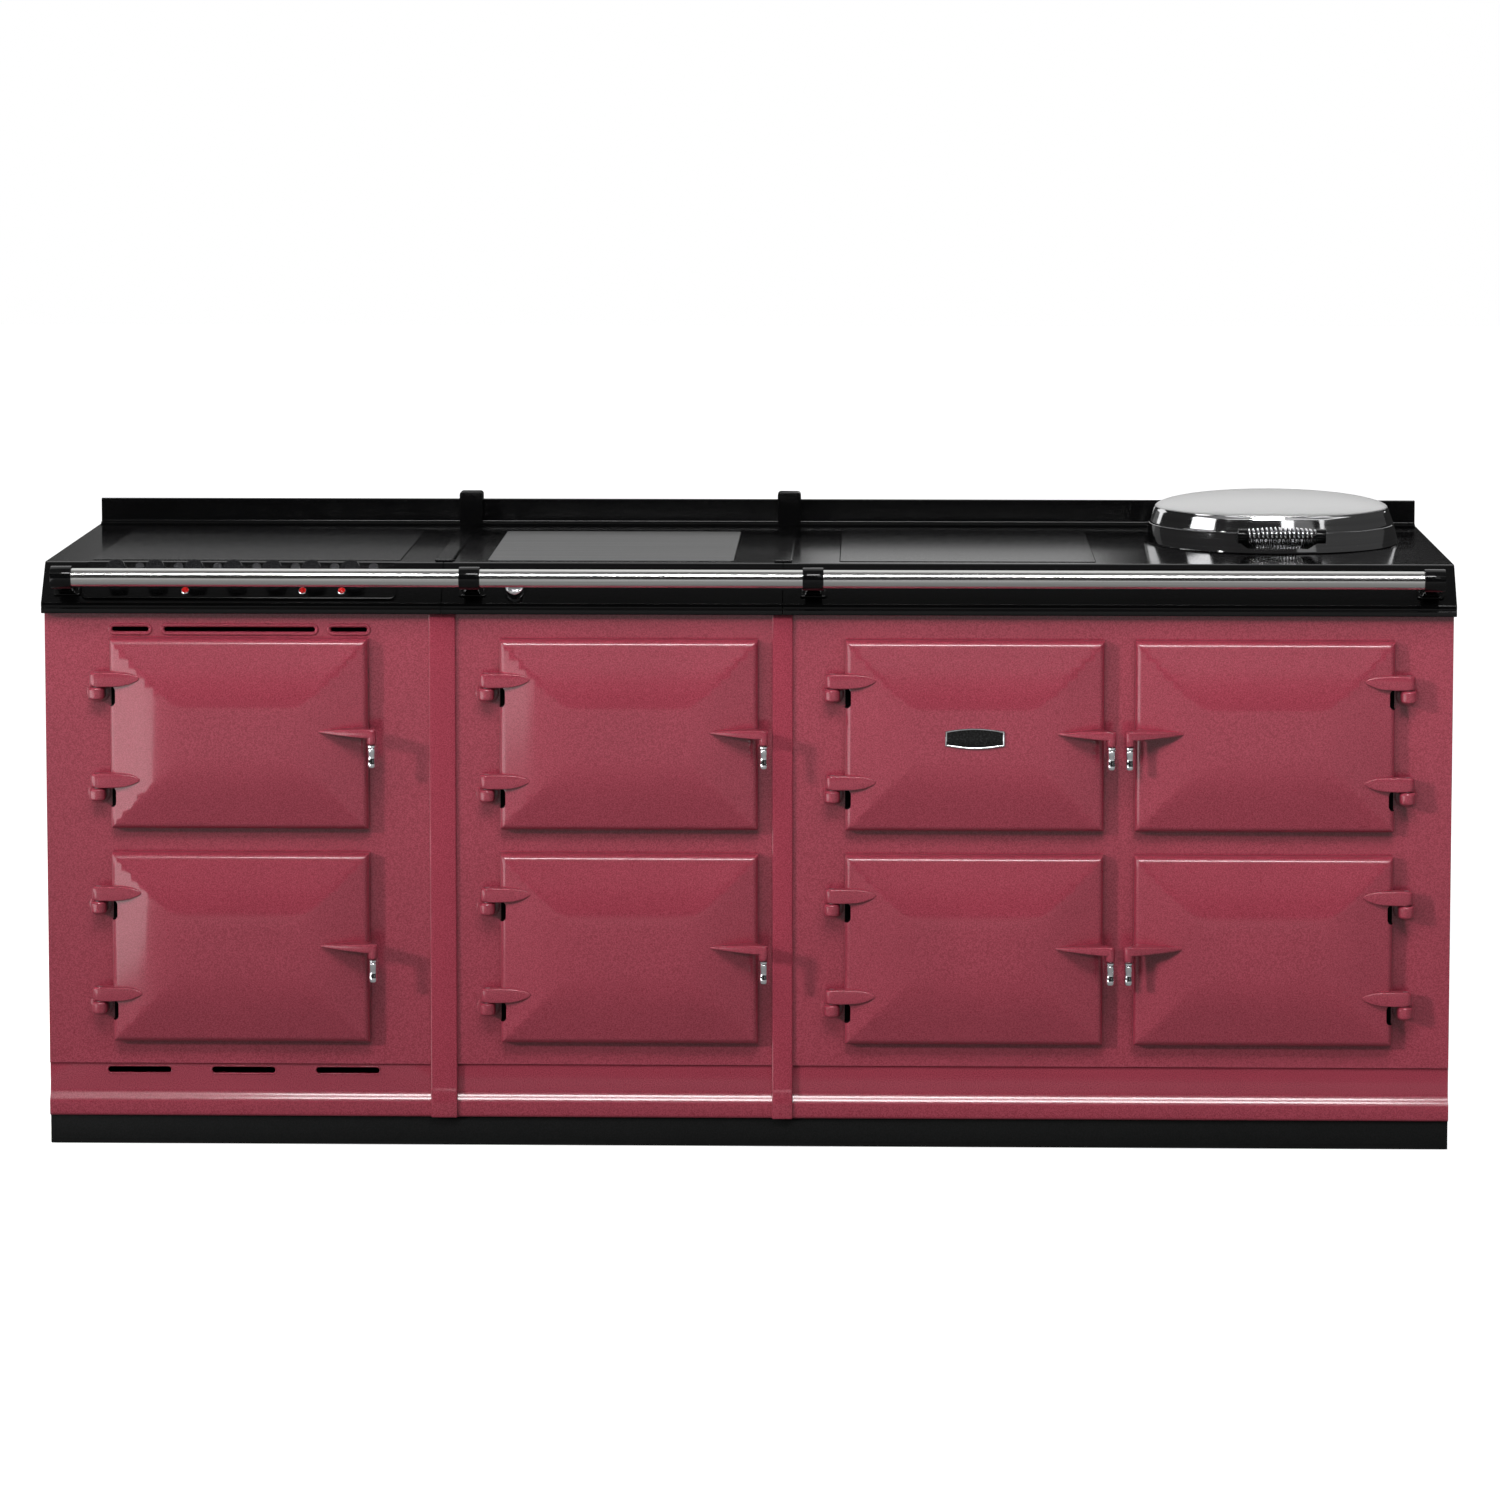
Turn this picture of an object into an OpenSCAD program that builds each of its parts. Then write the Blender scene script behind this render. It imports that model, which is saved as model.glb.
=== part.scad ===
// Cast iron range cooker: three modules side by side, eight hinged oven doors, a ceramic hob,
// a warming plate, an induction hob and a hotplate under a hinged domed lid.
// Millimetres. +X right, +Y towards the wall, +Z up. Origin on the floor, at the centre of the plan.

/* [Modules] */
// Bare plate on the hinge side of the left doors
left_hinge_side = 99; // [90:1:120]
// Bare plate on the grip side of the left doors
left_grip_side = 110; // [90:1:130]
// Bare plate on the hinge side of the middle doors
mid_hinge_side = 86; // [76:1:110]
// Bare plate on the grip side of the middle doors
mid_grip_side = 36; // [32:1:60]
// Bare plate on the hinge side of the inner doors
inner_hinge_side = 93; // [80:1:115]
// Gap between the facing handles of the inner and the outer doors
handle_gap = 13; // [6:1:30]
// Bare plate on the hinge side of the outer doors
outer_hinge_side = 87; // [76:1:110]
// Depth of the body from the front plates to the wall
body_d = 620; // [590:1:680]
// Width of the gap between neighbouring modules
module_gap = 1; // [0.5:0.5:2]

/* [Heights] */
// Height of the plinth
plinth_h = 45; // [30:1:80]
// Height of the skirt panels
skirt_h = 80; // [70:1:100]
// Bare plate below the lower doors
low_bare = 36.5; // [34:0.5:60]
// Bare plate between the lower and the upper doors
row_gap = 36.5; // [24:0.5:60]
// Bare plate above the upper doors
top_bare = 37; // [35:1:60]
// Height of the top plates, from their lower edge to the hob surface
crown_h = 73; // [70:1:80]
// Height of the splashback above the hob surface
splash_h = 42; // [25:1:60]

/* [Front plates] */
// Thickness of the front plates
plate_t = 12; // [8:1:16]
// Width of the ventilation slots' end pieces at the top of the left module
vent_short = 56; // [40:1:64]
// Width of the middle ventilation slot at the top of the left module
vent_long = 227; // [180:1:240]
// Height of the ventilation slots
vent_h = 8.5; // [6:0.5:10]
// Distance of the ventilation slots below the plate's upper edge
vent_drop = 25; // [20:1:30]
// Bare plate between two ventilation slots
vent_web = 22; // [18:1:28]

/* [Skirt and strips] */
// Thickness of the skirt panels
skirt_t = 6; // [4:1:7]
// Set-back of the skirt behind the face of the front plates
skirt_back = 4; // [2:1:5]
// How far the roll at the foot of the skirt stands forward of its upper part
skirt_roll = 9; // [6:1:12]
// Width of the slots in the left skirt
skirt_slot_w = 96; // [70:1:110]
// Height of the slots in the left skirt
skirt_slot_h = 10; // [6:0.5:12]
// Distance between the centres of the slots in the left skirt
skirt_slot_pitch = 157; // [140:1:165]
// Width of the strip between the left and middle modules
strip_w_left = 40; // [34:1:46]
// Width of the strip between the middle and right modules
strip_w_right = 31; // [26:1:40]
// Thickness of the strips
strip_t = 6; // [4:0.5:8]
// Height of the thick foot of the strips
strip_foot_h = 46; // [35:1:60]
// How far the foot of a strip stands forward of the strip
strip_foot_t = 4; // [2:0.5:6]

/* [Doors] */
// Width of a door
door_w = 386; // [360:1:396]
// Height of a door
door_h = 286; // [260:1:294]
// Corner radius of a door
door_r = 7; // [4:1:12]
// Thickness of a door's outer rim
rim_t = 24; // [18:1:28]
// Height of the raised field above the rim
field_rise = 18; // [12:1:20]
// Width of the slope from the rim to the raised field
field_run = 75; // [60:1:90]
// Wall thickness of the door casting
door_wall = 6; // [4:0.5:7]
// Gap between a closed door and the front plate
door_gap = 2; // [1:0.5:2.5]

/* [Door lining] */
// How far the door lining's plug reaches into the oven
plug_d = 12; // [8:1:16]
// Gap all round between the plug and the mouth of the oven
plug_gap = 7; // [4:0.5:10]
// Thickness of the door lining's flange
lining_t = 3; // [2:0.5:4]

/* [Door hinges] */
// Distance of the hinge pin from the door's edge
pin_out = 19; // [17:0.5:22]
// Distance of the hinge pin's axis in front of the front plate
pin_ahead = 25; // [22:0.5:28]
// Diameter of the hinge pins
pin_d = 8; // [6:0.5:9]
// Radial clearance between a pin and its eye
pin_fit = 0.05; // [0.02:0.01:0.1]
// Height of a hinge arm
arm_h = 21.5; // [16:0.5:26]
// Radius of the eye of a hinge arm
eye_r = 10; // [8:0.5:12]
// Length of a hinge arm over the face of the door
arm_reach = 48; // [40:1:56]
// Height of a hinge lug
lug_h = 19; // [14:0.5:24]
// Radius of the knuckle of a hinge lug
lug_r = 12; // [10:0.5:13]
// Gap between a hinge arm and the lug below it
arm_gap = 0.9; // [0.5:0.1:1.5]
// Height of the upper arm above the door's centre
arm_high = 82.5; // [70:0.5:95]
// Depth of the lower arm below the door's centre
arm_low = 69.5; // [60:0.5:85]
// Depth of the notch in the door's edge beside each hinge lug
notch_w = 9; // [5:0.5:10]
// Height of that notch, below the hinge arm
notch_h = 30; // [22:1:36]

/* [Door handles] */
// Length of the handle's horn along the face of the door
horn_in = 72; // [55:1:85]
// How far the end of the horn lies beyond the door's edge
horn_out = 9; // [9:1:15]
// Distance of the end of the horn in front of the front plate
horn_ahead = 60; // [54:1:68]
// Thickness of the horn
horn_t = 13; // [10:0.5:16]
// Radius of the knuckle at the end of the horn
horn_r = 7; // [5.5:0.5:8]
// Height of the knuckle
knuckle_h = 23; // [18:1:28]
// Diameter of the chrome grip
grip_d = 12.5; // [10:0.5:13.5]
// Length of the chrome grip
grip_h = 34; // [26:1:42]
// Diameter of the stud on top of the grip
stud_d = 5; // [4:0.5:6]
// Length of the stud on top of the grip
stud_h = 9; // [6:1:12]
// Radial clearance of the grip's stud in the knuckle
stud_fit = 0.05; // [0.02:0.01:0.1]

/* [Badge] */
// Width of the plain plate on the inner upper door
badge_w = 88; // [70:1:100]
// Height of the plate at its ends
badge_end_h = 22; // [18:1:26]
// How much each long side of the plate bulges
badge_bulge = 4.5; // [3:0.5:6]
// Thickness of the plate
badge_t = 3; // [2:0.5:4]

/* [Ovens] */
// How far a door laps the plate on each side of the oven's mouth
side_lap = 38; // [32:1:46]
// How far a door laps the plate above and below the oven's mouth
end_lap = 35.5; // [28:0.5:44]
// Depth of an oven behind the front plate
oven_d = 480; // [420:1:500]
// Wall thickness of an oven
oven_t = 4; // [3:0.5:6]
// Height of the shelf runners' underside above the oven floor
runner_z = 45; // [35:1:60]
// Width of a shelf runner
runner_w = 8; // [6:1:12]
// Height of a shelf runner
runner_h = 6; // [4:1:8]
// Width of a shelf bar
bar_w = 6; // [5:0.5:8]
// Diameter of the shelf rods
rod_d = 4; // [3:0.5:5]
// Number of rods in a shelf
rod_n = 11; // [8:1:14]
// Gap between a shelf and the oven's walls
shelf_gap = 2; // [1:0.5:4]

/* [Casing] */
// Thickness of the casing panels
case_t = 3; // [2:0.5:4]
// Number of feet along the front of each module
feet_n = 2; // [2:1:3]
// Diameter of a foot
foot_d = 44; // [36:1:60]
// Thickness of a foot's pad
foot_t = 8; // [6:1:12]
// Diameter of a foot's stem
stem_d = 12; // [10:1:16]
// Distance of the feet from the edges of their module
foot_in = 60; // [45:1:80]
// Thickness of the plinth boards
plinth_t = 6; // [4:1:10]
// Gap between the plinth and the floor
plinth_lift = 1.5; // [1:0.5:5]

/* [Top plates] */
// Wall thickness of the top plates
crown_t = 9; // [7:0.5:11]
// Set-out of the sloping front's lower edge, forward of the front plates
nose_out = 15; // [12:1:18]
// Slope of the front of the top plates from upright, in degrees
nose_tilt = 40; // [35:1:42]
// Height of the lip below the sloping front
lip_h = 19; // [15:1:22]
// How far the lip stands forward of the sloping front's lower edge
lip_out = 3; // [2:0.5:5]
// How far the outer ends of the top plates stand out beyond the body
end_out = 2.5; // [1:0.5:5]
// Depth of the flange that rests on the front plates
seat_d = 8; // [6:0.5:8]
// Thickness of that flange
seat_t = 7; // [5:0.5:9]

/* [Splashback and joint covers] */
// Thickness of the splashback
splash_t = 7; // [5:0.5:9]
// Depth of the splashback's foot
splash_foot_d = 16; // [12:1:20]
// Height of the splashback's foot
splash_foot_h = 4; // [3:0.5:6]
// Width of the joint covers
cover_w = 27; // [22:1:32]
// Thickness of the joint covers
cover_t = 4; // [3:0.5:6]
// Width of a joint cover's rear cap
cap_w = 37; // [34:1:42]
// Depth of a rear cap
cap_d = 30; // [24:1:36]
// Height of a rear cap above the hob surface
cap_h = 55; // [48:1:64]

/* [Hobs] */
// Distance of the hobs behind the face of the front plates
hob_in = 54; // [50:1:60]
// Top plate to the left of the ceramic hob
ceramic_left = 65.5; // [50:0.5:90]
// Top plate to the right of the ceramic hob
ceramic_right = 66.5; // [50:0.5:90]
// Top plate behind the ceramic hob
ceramic_back = 81; // [50:1:110]
// Top plate to the left of the warming plate
warm_left = 64.5; // [50:0.5:90]
// Top plate to the right of the warming plate
warm_right = 74.5; // [50:0.5:90]
// Top plate behind the warming plate
warm_back = 120; // [50:1:150]
// Top plate to the left of the induction hob
induction_left = 84.5; // [50:0.5:110]
// Top plate between the induction hob and the lid
induction_right = 86.5; // [50:0.5:110]
// Top plate behind the induction hob
induction_back = 66; // [40:1:110]
// Thickness of the glass and of the warming plate
glass_t = 5; // [4:0.5:6]
// How far the glass and the warming plate stand above the top plates
glass_up = 1; // [0.5:0.5:2]
// Width of the ledge that carries the glass
ledge_w = 10; // [8:1:14]
// Gap between the glass and the edge of its recess
glass_gap = 0.5; // [0.3:0.1:1]

/* [Hotplate] */
// Gap between the edge of the hotplate and the inside of the lid's foot ring
hotplate_in = 6; // [3:0.5:16]
// Height of the hotplate above the top plate
hotplate_up = 7; // [4:0.5:9]
// Thickness of the hotplate
hotplate_t = 26; // [20:1:34]
// Width of the flange that holds the hotplate under the top plate
hotplate_rim = 9; // [7:1:12]
// Thickness of that flange
hotplate_rim_t = 8; // [6:1:10]
// Gap round the hotplate
hotplate_gap = 0.5; // [0.3:0.1:1]

/* [Lid] */
// Outer radius of the lid at its foot
lid_r = 197; // [180:1:205]
// Top plate to the right of the lid
lid_right = 49; // [40:1:70]
// Top plate behind the lid
lid_back = 51; // [44:1:70]
// How far the lid draws in from its foot to the seam
seam_in = 8; // [5:0.5:12]
// Height of the lid's seam above the top plate
seam_h = 31; // [26:0.5:34]
// How far the lid draws in from the seam to its shoulder
shoulder_in = 9; // [6:0.5:15]
// Height of the lid's shoulder above the top plate
shoulder_h = 54; // [48:0.5:58]
// Height of the lid's crown above the top plate
dome_h = 78; // [70:0.5:84]
// Wall thickness of the lid
lid_t = 3; // [2:0.5:4]
// Thickness of the lid's foot ring
ring_t = 15; // [12:0.5:16]
// Thickness of the lid's lining plate
lid_lining_t = 8; // [6:0.5:10]
// Gap under the closed lid
lid_gap = 0.3; // [0.2:0.1:0.5]

/* [Lid hinge] */
// Distance of the hinge pin behind the lid's foot
lid_pin_back = 10; // [9:0.5:11]
// Height of the hinge pin above the top plate
lid_pin_h = 18; // [15:0.5:20]
// Diameter of the lid's hinge pin
lid_pin_d = 8; // [6:0.5:9]
// Radius of the lid's hinge barrel
barrel_r = 8; // [7:0.5:9]
// Length of the hinge barrel
barrel_w = 80; // [60:1:120]
// Width of each hinge ear on the top plate
ear_w = 14; // [10:1:20]
// Gap between the barrel and each ear
ear_gap = 0.5; // [0.3:0.1:1]

/* [Lid handle] */
// Distance of the handle's axis in front of the lid's foot
handle_ahead = 32; // [28:1:38]
// Height of the handle's axis above the top plate
handle_h = 31; // [27:0.5:34]
// Length of the coil
coil_len = 104; // [90:1:120]
// Largest radius of the coil, to the centre of its wire
coil_mid_r = 12.5; // [11:0.5:14]
// Radius of the coil at its ends
coil_end_r = 9; // [8:0.5:10]
// Radius of the coil's wire
wire_r = 1.6; // [1.2:0.1:1.8]
// Number of turns of the coil
turns = 14; // [10:1:14]
// Diameter of the rod inside the coil
rod_core_d = 9; // [7:0.5:10]
// Width of a handle post
post_w = 14; // [11:1:18]
// Height of a handle post
post_h = 22; // [18:1:26]

/* [Towel rails] */
// Diameter of the towel rails
rail_d = 27; // [22:1:30]
// Wall thickness of the towel rails
rail_t = 2; // [1.5:0.5:3]
// Distance of the rails' axis in front of the front plates
rail_ahead = 66; // [62:1:76]
// Distance of the rails' axis below the hob surface
rail_drop = 13.5; // [12:0.5:16]
// Outer diameter of the bracket sleeves
sleeve_d = 34; // [31:1:38]
// Length of the bracket sleeves
sleeve_w = 31; // [26:1:36]
// Wall between the two sockets of a sleeve
sleeve_web = 5; // [3:0.5:8]
// Radial clearance of a rail in its sleeve
rail_fit = 0.1; // [0.05:0.05:0.2]
// Distance of the end brackets from the ends of the body
end_bracket_in = 36; // [28:1:39]
// Distance of the inner brackets from the left edge of their module
bracket_in = 46; // [40:1:54]
// Width of a bracket's foot
bracket_foot_w = 40; // [34:1:46]
// Thickness of a bracket's foot
bracket_foot_t = 4; // [3:0.5:6]
// Width of a bracket's arm
bracket_arm_w = 26; // [20:1:30]

/* [Control panel] */
// Gap between the control panel and the foot of the end bracket
panel_gap = 1; // [0.5:0.5:8]
// Sloping front to the right of the control panel, in its module
panel_right = 68; // [50:1:90]
// Sloping front above and below the control panel
panel_edge = 3.25; // [2:0.25:4]
// Thickness of the control panel
panel_t = 4; // [3:0.5:5]
// How far the panel overlaps its window in the top plate
panel_lap = 6; // [4:1:7]
// Distance of the first knob from the left edge of the panel
knob_left = 51.5; // [44:0.5:60]
// Distance of the last knob from the right edge of the panel
knob_right = 68; // [60:0.5:76]
// Number of knobs on the panel
knob_n = 7;
// Position of the knobs above the middle of the slope
knob_up = 8; // [4:0.5:10]
// How far the small discs lie to the right of the middle between two knobs
disc_shift = 3.3; // [0:0.1:3.8]
// Distance of the small discs below the upper edge of the panel
disc_edge = 10; // [9:0.5:11]
// Diameter of the small discs
disc_d = 15; // [12:0.5:16]
// Distance of the lamps above the lower edge of the panel
lamp_edge = 12; // [9:0.5:14]
// Diameter of the lamps
lamp_d = 12; // [10:0.5:13]
// How far the discs and lamps stand above the panel
button_up = 3; // [2:0.5:5]
// Radial gap round the discs and lamps in their holes
button_fit = 0.05; // [0.02:0.01:0.1]

/* [Knobs] */
// Diameter of a knob's skirt
knob_skirt_d = 38; // [32:1:42]
// Height of a knob's skirt
knob_skirt_h = 4; // [3:0.5:6]
// Diameter of a knob's cap
knob_cap_d = 29; // [24:1:31]
// Height of a knob from its skirt's base to its cap
knob_h = 24; // [18:1:26]
// Diameter of a knob's spindle
spindle_d = 6; // [5:0.5:7]
// Length of a knob's spindle
spindle_h = 22; // [16:1:26]
// Gap between a knob and the surface behind it
knob_gap = 0.5; // [0.3:0.1:1]
// Radial clearance of a spindle in its bush
spindle_fit = 0.05; // [0.02:0.01:0.1]
// Distance of the middle module's knob from the left edge of that module
timer_x = 109; // [100:1:120]
// Position of that knob below the middle of the slope
timer_down = 15; // [12:0.5:17]
// Diameter of that knob
timer_d = 31; // [26:1:34]
// Height of that knob
timer_h = 16; // [12:1:20]

/* [Hidden] */
$fn = 48;

// Colours seen on the object
enamel = [0.62, 0.20, 0.29];
black_enamel = [0.03, 0.03, 0.03];
chrome = [0.80, 0.80, 0.82];
satin_steel = [0.62, 0.61, 0.58];
iron = [0.20, 0.20, 0.21];
sheet_steel = [0.45, 0.46, 0.48];

// Plan: the body's front face and its edges
depth_all = body_d + rail_ahead + sleeve_d / 2;
face_y = rail_ahead + sleeve_d / 2 - depth_all / 2;
back_y = depth_all / 2;
case_y = face_y + plate_t;
pair_gap = 2 * (horn_out + horn_r) + handle_gap;
left_w = left_hinge_side + door_w + left_grip_side;
mid_w = mid_hinge_side + door_w + mid_grip_side;
right_w = inner_hinge_side + door_w + pair_gap + door_w + outer_hinge_side;
width_all = left_w + mid_w + right_w;
mod_x = [-width_all / 2, -width_all / 2 + left_w, -width_all / 2 + left_w + mid_w];
mod_w = [left_w, mid_w, right_w];

// Heights of the joints between the layers
plate_h = low_bare + door_h + row_gap + door_h + top_bare;
skirt_z = plinth_h;
plate_z = plinth_h + skirt_h;
crown_z = plate_z + plate_h;
hob_z = crown_z + crown_h;
slab_z = hob_z - crown_t;

// Doors: four columns and two rows; side is -1 where the hinge is on the left
LEFT = 0;
MIDDLE = 1;
INNER = 2;
OUTER = 3;
LOW = 0;
TOP = 1;
door_x = [
    mod_x[0] + left_hinge_side + door_w / 2,
    mod_x[1] + mid_hinge_side + door_w / 2,
    mod_x[2] + inner_hinge_side + door_w / 2,
    width_all / 2 - outer_hinge_side - door_w / 2
];
door_side = [-1, -1, -1, 1];
door_module = [0, 1, 2, 2];
door_z = [plate_z + low_bare + door_h / 2, crown_z - top_bare - door_h / 2];
field_y = -(door_gap + rim_t + field_rise);
arm_z = [arm_high, -arm_low];
lug_z = [arm_high - arm_h / 2 - arm_gap - lug_h, -arm_low - arm_h / 2 - arm_gap - lug_h];
oven_w = door_w - 2 * side_lap;
oven_h = door_h - 2 * end_lap;

// Sloping front of the top plates
nose_z = crown_z + lip_h;
nose_rise = hob_z - nose_z;
nose_top_y = face_y - nose_out + nose_rise * tan(nose_tilt);
slope_mid = [(face_y - nose_out + nose_top_y) / 2, (nose_z + hob_z) / 2];
nose_round = 8;

// Lid and its hinge
lid_at = [width_all / 2 - lid_right - lid_r, back_y - lid_back - lid_r, hob_z];
seam_r = lid_r - seam_in;
shoulder_r = seam_r - shoulder_in;
hotplate_r = lid_r - ring_t - hotplate_in;
lid_pin_at = [lid_at[0], lid_at[1] + lid_r + lid_pin_back, hob_z + lid_pin_h];
handle_y = -(lid_r + handle_ahead);

// Hobs: [left edge, width, depth]
ceramic = [mod_x[0] + ceramic_left, left_w - ceramic_left - ceramic_right, body_d - hob_in - ceramic_back];
warm = [mod_x[1] + warm_left, mid_w - warm_left - warm_right, body_d - hob_in - warm_back];
induction_x = mod_x[2] + induction_left;
induction = [induction_x, lid_at[0] - lid_r - induction_right - induction_x, body_d - hob_in - induction_back];

// Control panel on the slope
panel_left = end_bracket_in + bracket_foot_w / 2 + panel_gap;
panel_w = left_w - panel_left - panel_right;
panel_h = nose_rise / cos(nose_tilt) - 2 * panel_edge;
panel_x = mod_x[0] + panel_left + panel_w / 2;
knob_pitch = (panel_w - knob_left - knob_right) / (knob_n - 1);
disc_off = knob_pitch / 2 + disc_shift;
disc_up = panel_h / 2 - disc_edge;
lamp_down = panel_h / 2 - lamp_edge;

// Towel rails and their brackets
rail_y = face_y - rail_ahead;
rail_z = hob_z - rail_drop;
bracket_x = [mod_x[0] + end_bracket_in, mod_x[1] + bracket_in, mod_x[2] + bracket_in, width_all / 2 - end_bracket_in];

// Strips between the modules
strip_x = [mod_x[1], mod_x[2]];
strip_w = [strip_w_left, strip_w_right];

over = 1; // how far a cut runs past the face it opens

// Plane shapes
module rounded_rect(w, h, r) {
    square([w - 2 * r, h], center = true);
    square([w, h - 2 * r], center = true);
    for (x = [-1, 1], y = [-1, 1])
        translate([x * (w / 2 - r), y * (h / 2 - r)])
            circle(r);
}

// Extrudes a (Y, Z) outline along X, from x0 to x1
module along_x(x0, x1) {
    translate([x0, 0, 0])
        rotate([90, 0, 90])
            linear_extrude(x1 - x0)
                children();
}

// Extrudes an (X, Z) outline along Y, from y0 to y1
module along_y(y0, y1) {
    translate([0, y1, 0])
        rotate([90, 0, 0])
            linear_extrude(y1 - y0)
                children();
}

// A box given by its two opposite corners
module box(low, high) {
    translate(low)
        cube(high - low);
}

// Places children on the sloping front: their +Z points out of the slope
module on_slope(x, up = 0) {
    translate([x, slope_mid[0], slope_mid[1]])
        rotate([90 - nose_tilt, 0, 0])
            translate([0, up, 0])
                children();
}

// Places children at a door: origin on the front plate behind the door's centre, hinge on the left
module at_door(column, row) {
    translate([door_x[column], face_y, door_z[row]])
        if (door_side[column] > 0)
            mirror([1, 0, 0])
                children();
        else
            children();
}

// Base: plinth and feet
module plinth() {
    color(black_enamel)
        difference() {
            box([-width_all / 2, face_y + skirt_back / 2, plinth_lift], [width_all / 2, back_y - case_t, plinth_h]);
            box(
                [-width_all / 2 + plinth_t, face_y + skirt_back / 2 + plinth_t, plinth_lift - over],
                [width_all / 2 - plinth_t, back_y - case_t - plinth_t, plinth_h + over]
            );
        }
}

module foot() {
    cylinder(d = foot_d, h = foot_t);
    translate([0, 0, foot_t])
        cylinder(d = stem_d, h = plinth_h - foot_t);
}

module levelling_feet() {
    color(sheet_steel)
        for (m = [0:2], i = [0:feet_n - 1], y = [face_y + foot_in, back_y - foot_in]) {
            x = mod_x[m] + foot_in + i * (mod_w[m] - 2 * foot_in) / (feet_n - 1);
            translate([x, y, 0])
                foot();
        }
}

// Casings: two sides, a back and a base for each module
module casing(m) {
    x0 = mod_x[m] + (m == 0 ? 0 : module_gap / 2);
    x1 = mod_x[m] + mod_w[m] - (m == 2 ? 0 : module_gap / 2);
    for (x = [x0, x1 - case_t])
        box([x, case_y, plinth_h + case_t], [x + case_t, back_y, crown_z]);
    box([x0 + case_t, back_y - case_t, plinth_h + case_t], [x1 - case_t, back_y, crown_z]);
    box([x0, case_y, plinth_h], [x1, back_y, plinth_h + case_t]);
}

module casings() {
    color(enamel)
        for (m = [0:2])
            casing(m);
}

// Front plates with their oven mouths, and the hinge lugs that stand on them
module oven_mouth(column, row) {
    at_door(column, row)
        box([-oven_w / 2, -over, -oven_h / 2], [oven_w / 2, plate_t + over, oven_h / 2]);
}

module slot(w, h) {
    translate([-(w - h) / 2, 0])
        circle(d = h);
    translate([(w - h) / 2, 0])
        circle(d = h);
    square([w - h, h], center = true);
}

module vent_slots() {
    slots = [
        [-(vent_long + vent_short) / 2 - vent_web, vent_short],
        [0, vent_long],
        [(vent_long + vent_short) / 2 + vent_web, vent_short]
    ];
    for (s = slots)
        translate([door_x[LEFT] + s[0], 0, crown_z - vent_drop])
            along_y(face_y - over, case_y + over)
                slot(s[1], vent_h);
}

module lug() {
    difference() {
        union() {
            cylinder(r = lug_r, h = lug_h);
            box([-lug_r, 0, 0], [lug_r, pin_ahead, lug_h]);
        }
        translate([0, 0, -over])
            cylinder(r = pin_d / 2 + pin_fit, h = lug_h + 2 * over);
    }
}

module lugs(column) {
    for (row = [LOW, TOP], z = lug_z)
        at_door(column, row)
            translate([-door_w / 2 - pin_out, -pin_ahead, z])
                lug();
}

module front_plate(m, columns) {
    x0 = mod_x[m] + (m == 0 ? 0 : module_gap / 2);
    x1 = mod_x[m] + mod_w[m] - (m == 2 ? 0 : module_gap / 2);
    color(enamel) {
        difference() {
            box([x0, face_y, plate_z], [x1, case_y, crown_z]);
            for (column = columns, row = [LOW, TOP])
                oven_mouth(column, row);
            if (m == 0)
                vent_slots();
        }
        for (column = columns)
            lugs(column);
    }
}

// Skirt panels with a roll along their foot
module skirt_profile() {
    top_y = face_y + skirt_back;
    low_y = top_y - skirt_roll;
    roll_z = skirt_z + skirt_h / 4;
    bend_z = skirt_z + skirt_h / 2;
    steps = 6;
    outer = [for (i = [0:steps]) [
        top_y - skirt_roll * (1 - cos(180 * i / steps)) / 2,
        bend_z - (bend_z - roll_z) * i / steps
    ]];
    inner = [for (i = [steps:-1:0]) [outer[i][0] + skirt_t, outer[i][1]]];
    polygon(concat(
        [[case_y, plate_z], [top_y, plate_z]],
        outer,
        [[low_y, skirt_z], [low_y + skirt_t, skirt_z]],
        inner,
        [[top_y + skirt_t, plate_z - skirt_t], [case_y, plate_z - skirt_t]]
    ));
}

module skirt_panels() {
    x0 = [mod_x[0], strip_x[0] + strip_w[0] / 2, strip_x[1] + strip_w[1] / 2];
    x1 = [strip_x[0] - strip_w[0] / 2, strip_x[1] - strip_w[1] / 2, width_all / 2];
    color(enamel)
        for (m = [0:2])
            difference() {
                along_x(x0[m], x1[m])
                    skirt_profile();
                if (m == 0)
                    for (i = [-1:1])
                        translate([door_x[LEFT] + i * skirt_slot_pitch, 0, plate_z - skirt_t - skirt_slot_h])
                            along_y(face_y - over, case_y + over)
                                slot(skirt_slot_w, skirt_slot_h);
            }
}

// Strips that cover the joints between the modules
module cover_strips() {
    color(enamel)
        for (i = [0, 1]) {
            half = strip_w[i] / 2;
            along_x(strip_x[i] - half, strip_x[i] + half)
                polygon([
                    [face_y, crown_z],
                    [face_y - strip_t, crown_z],
                    [face_y - strip_t, skirt_z + strip_foot_h],
                    [face_y - strip_t - strip_foot_t, skirt_z + strip_foot_h - 2 * strip_foot_t],
                    [face_y - strip_t - strip_foot_t, skirt_z],
                    [case_y, skirt_z],
                    [case_y, plate_z],
                    [face_y, plate_z]
                ]);
        }
}

// Top plates: inverted trays with a sloping front
module crown_outline() {
    turn = 90 - nose_tilt;
    reach = nose_round * tan(turn / 2);
    centre = [nose_top_y + reach, hob_z - nose_round];
    steps = 6;
    polygon(concat(
        [[back_y, crown_z], [back_y, hob_z]],
        [for (i = [0:steps]) centre + nose_round * [-sin(turn * i / steps), cos(turn * i / steps)]],
        [
            [face_y - nose_out, nose_z],
            [face_y - nose_out - lip_out, nose_z - lip_out],
            [face_y - nose_out - lip_out, crown_z]
        ]
    ));
}

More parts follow.
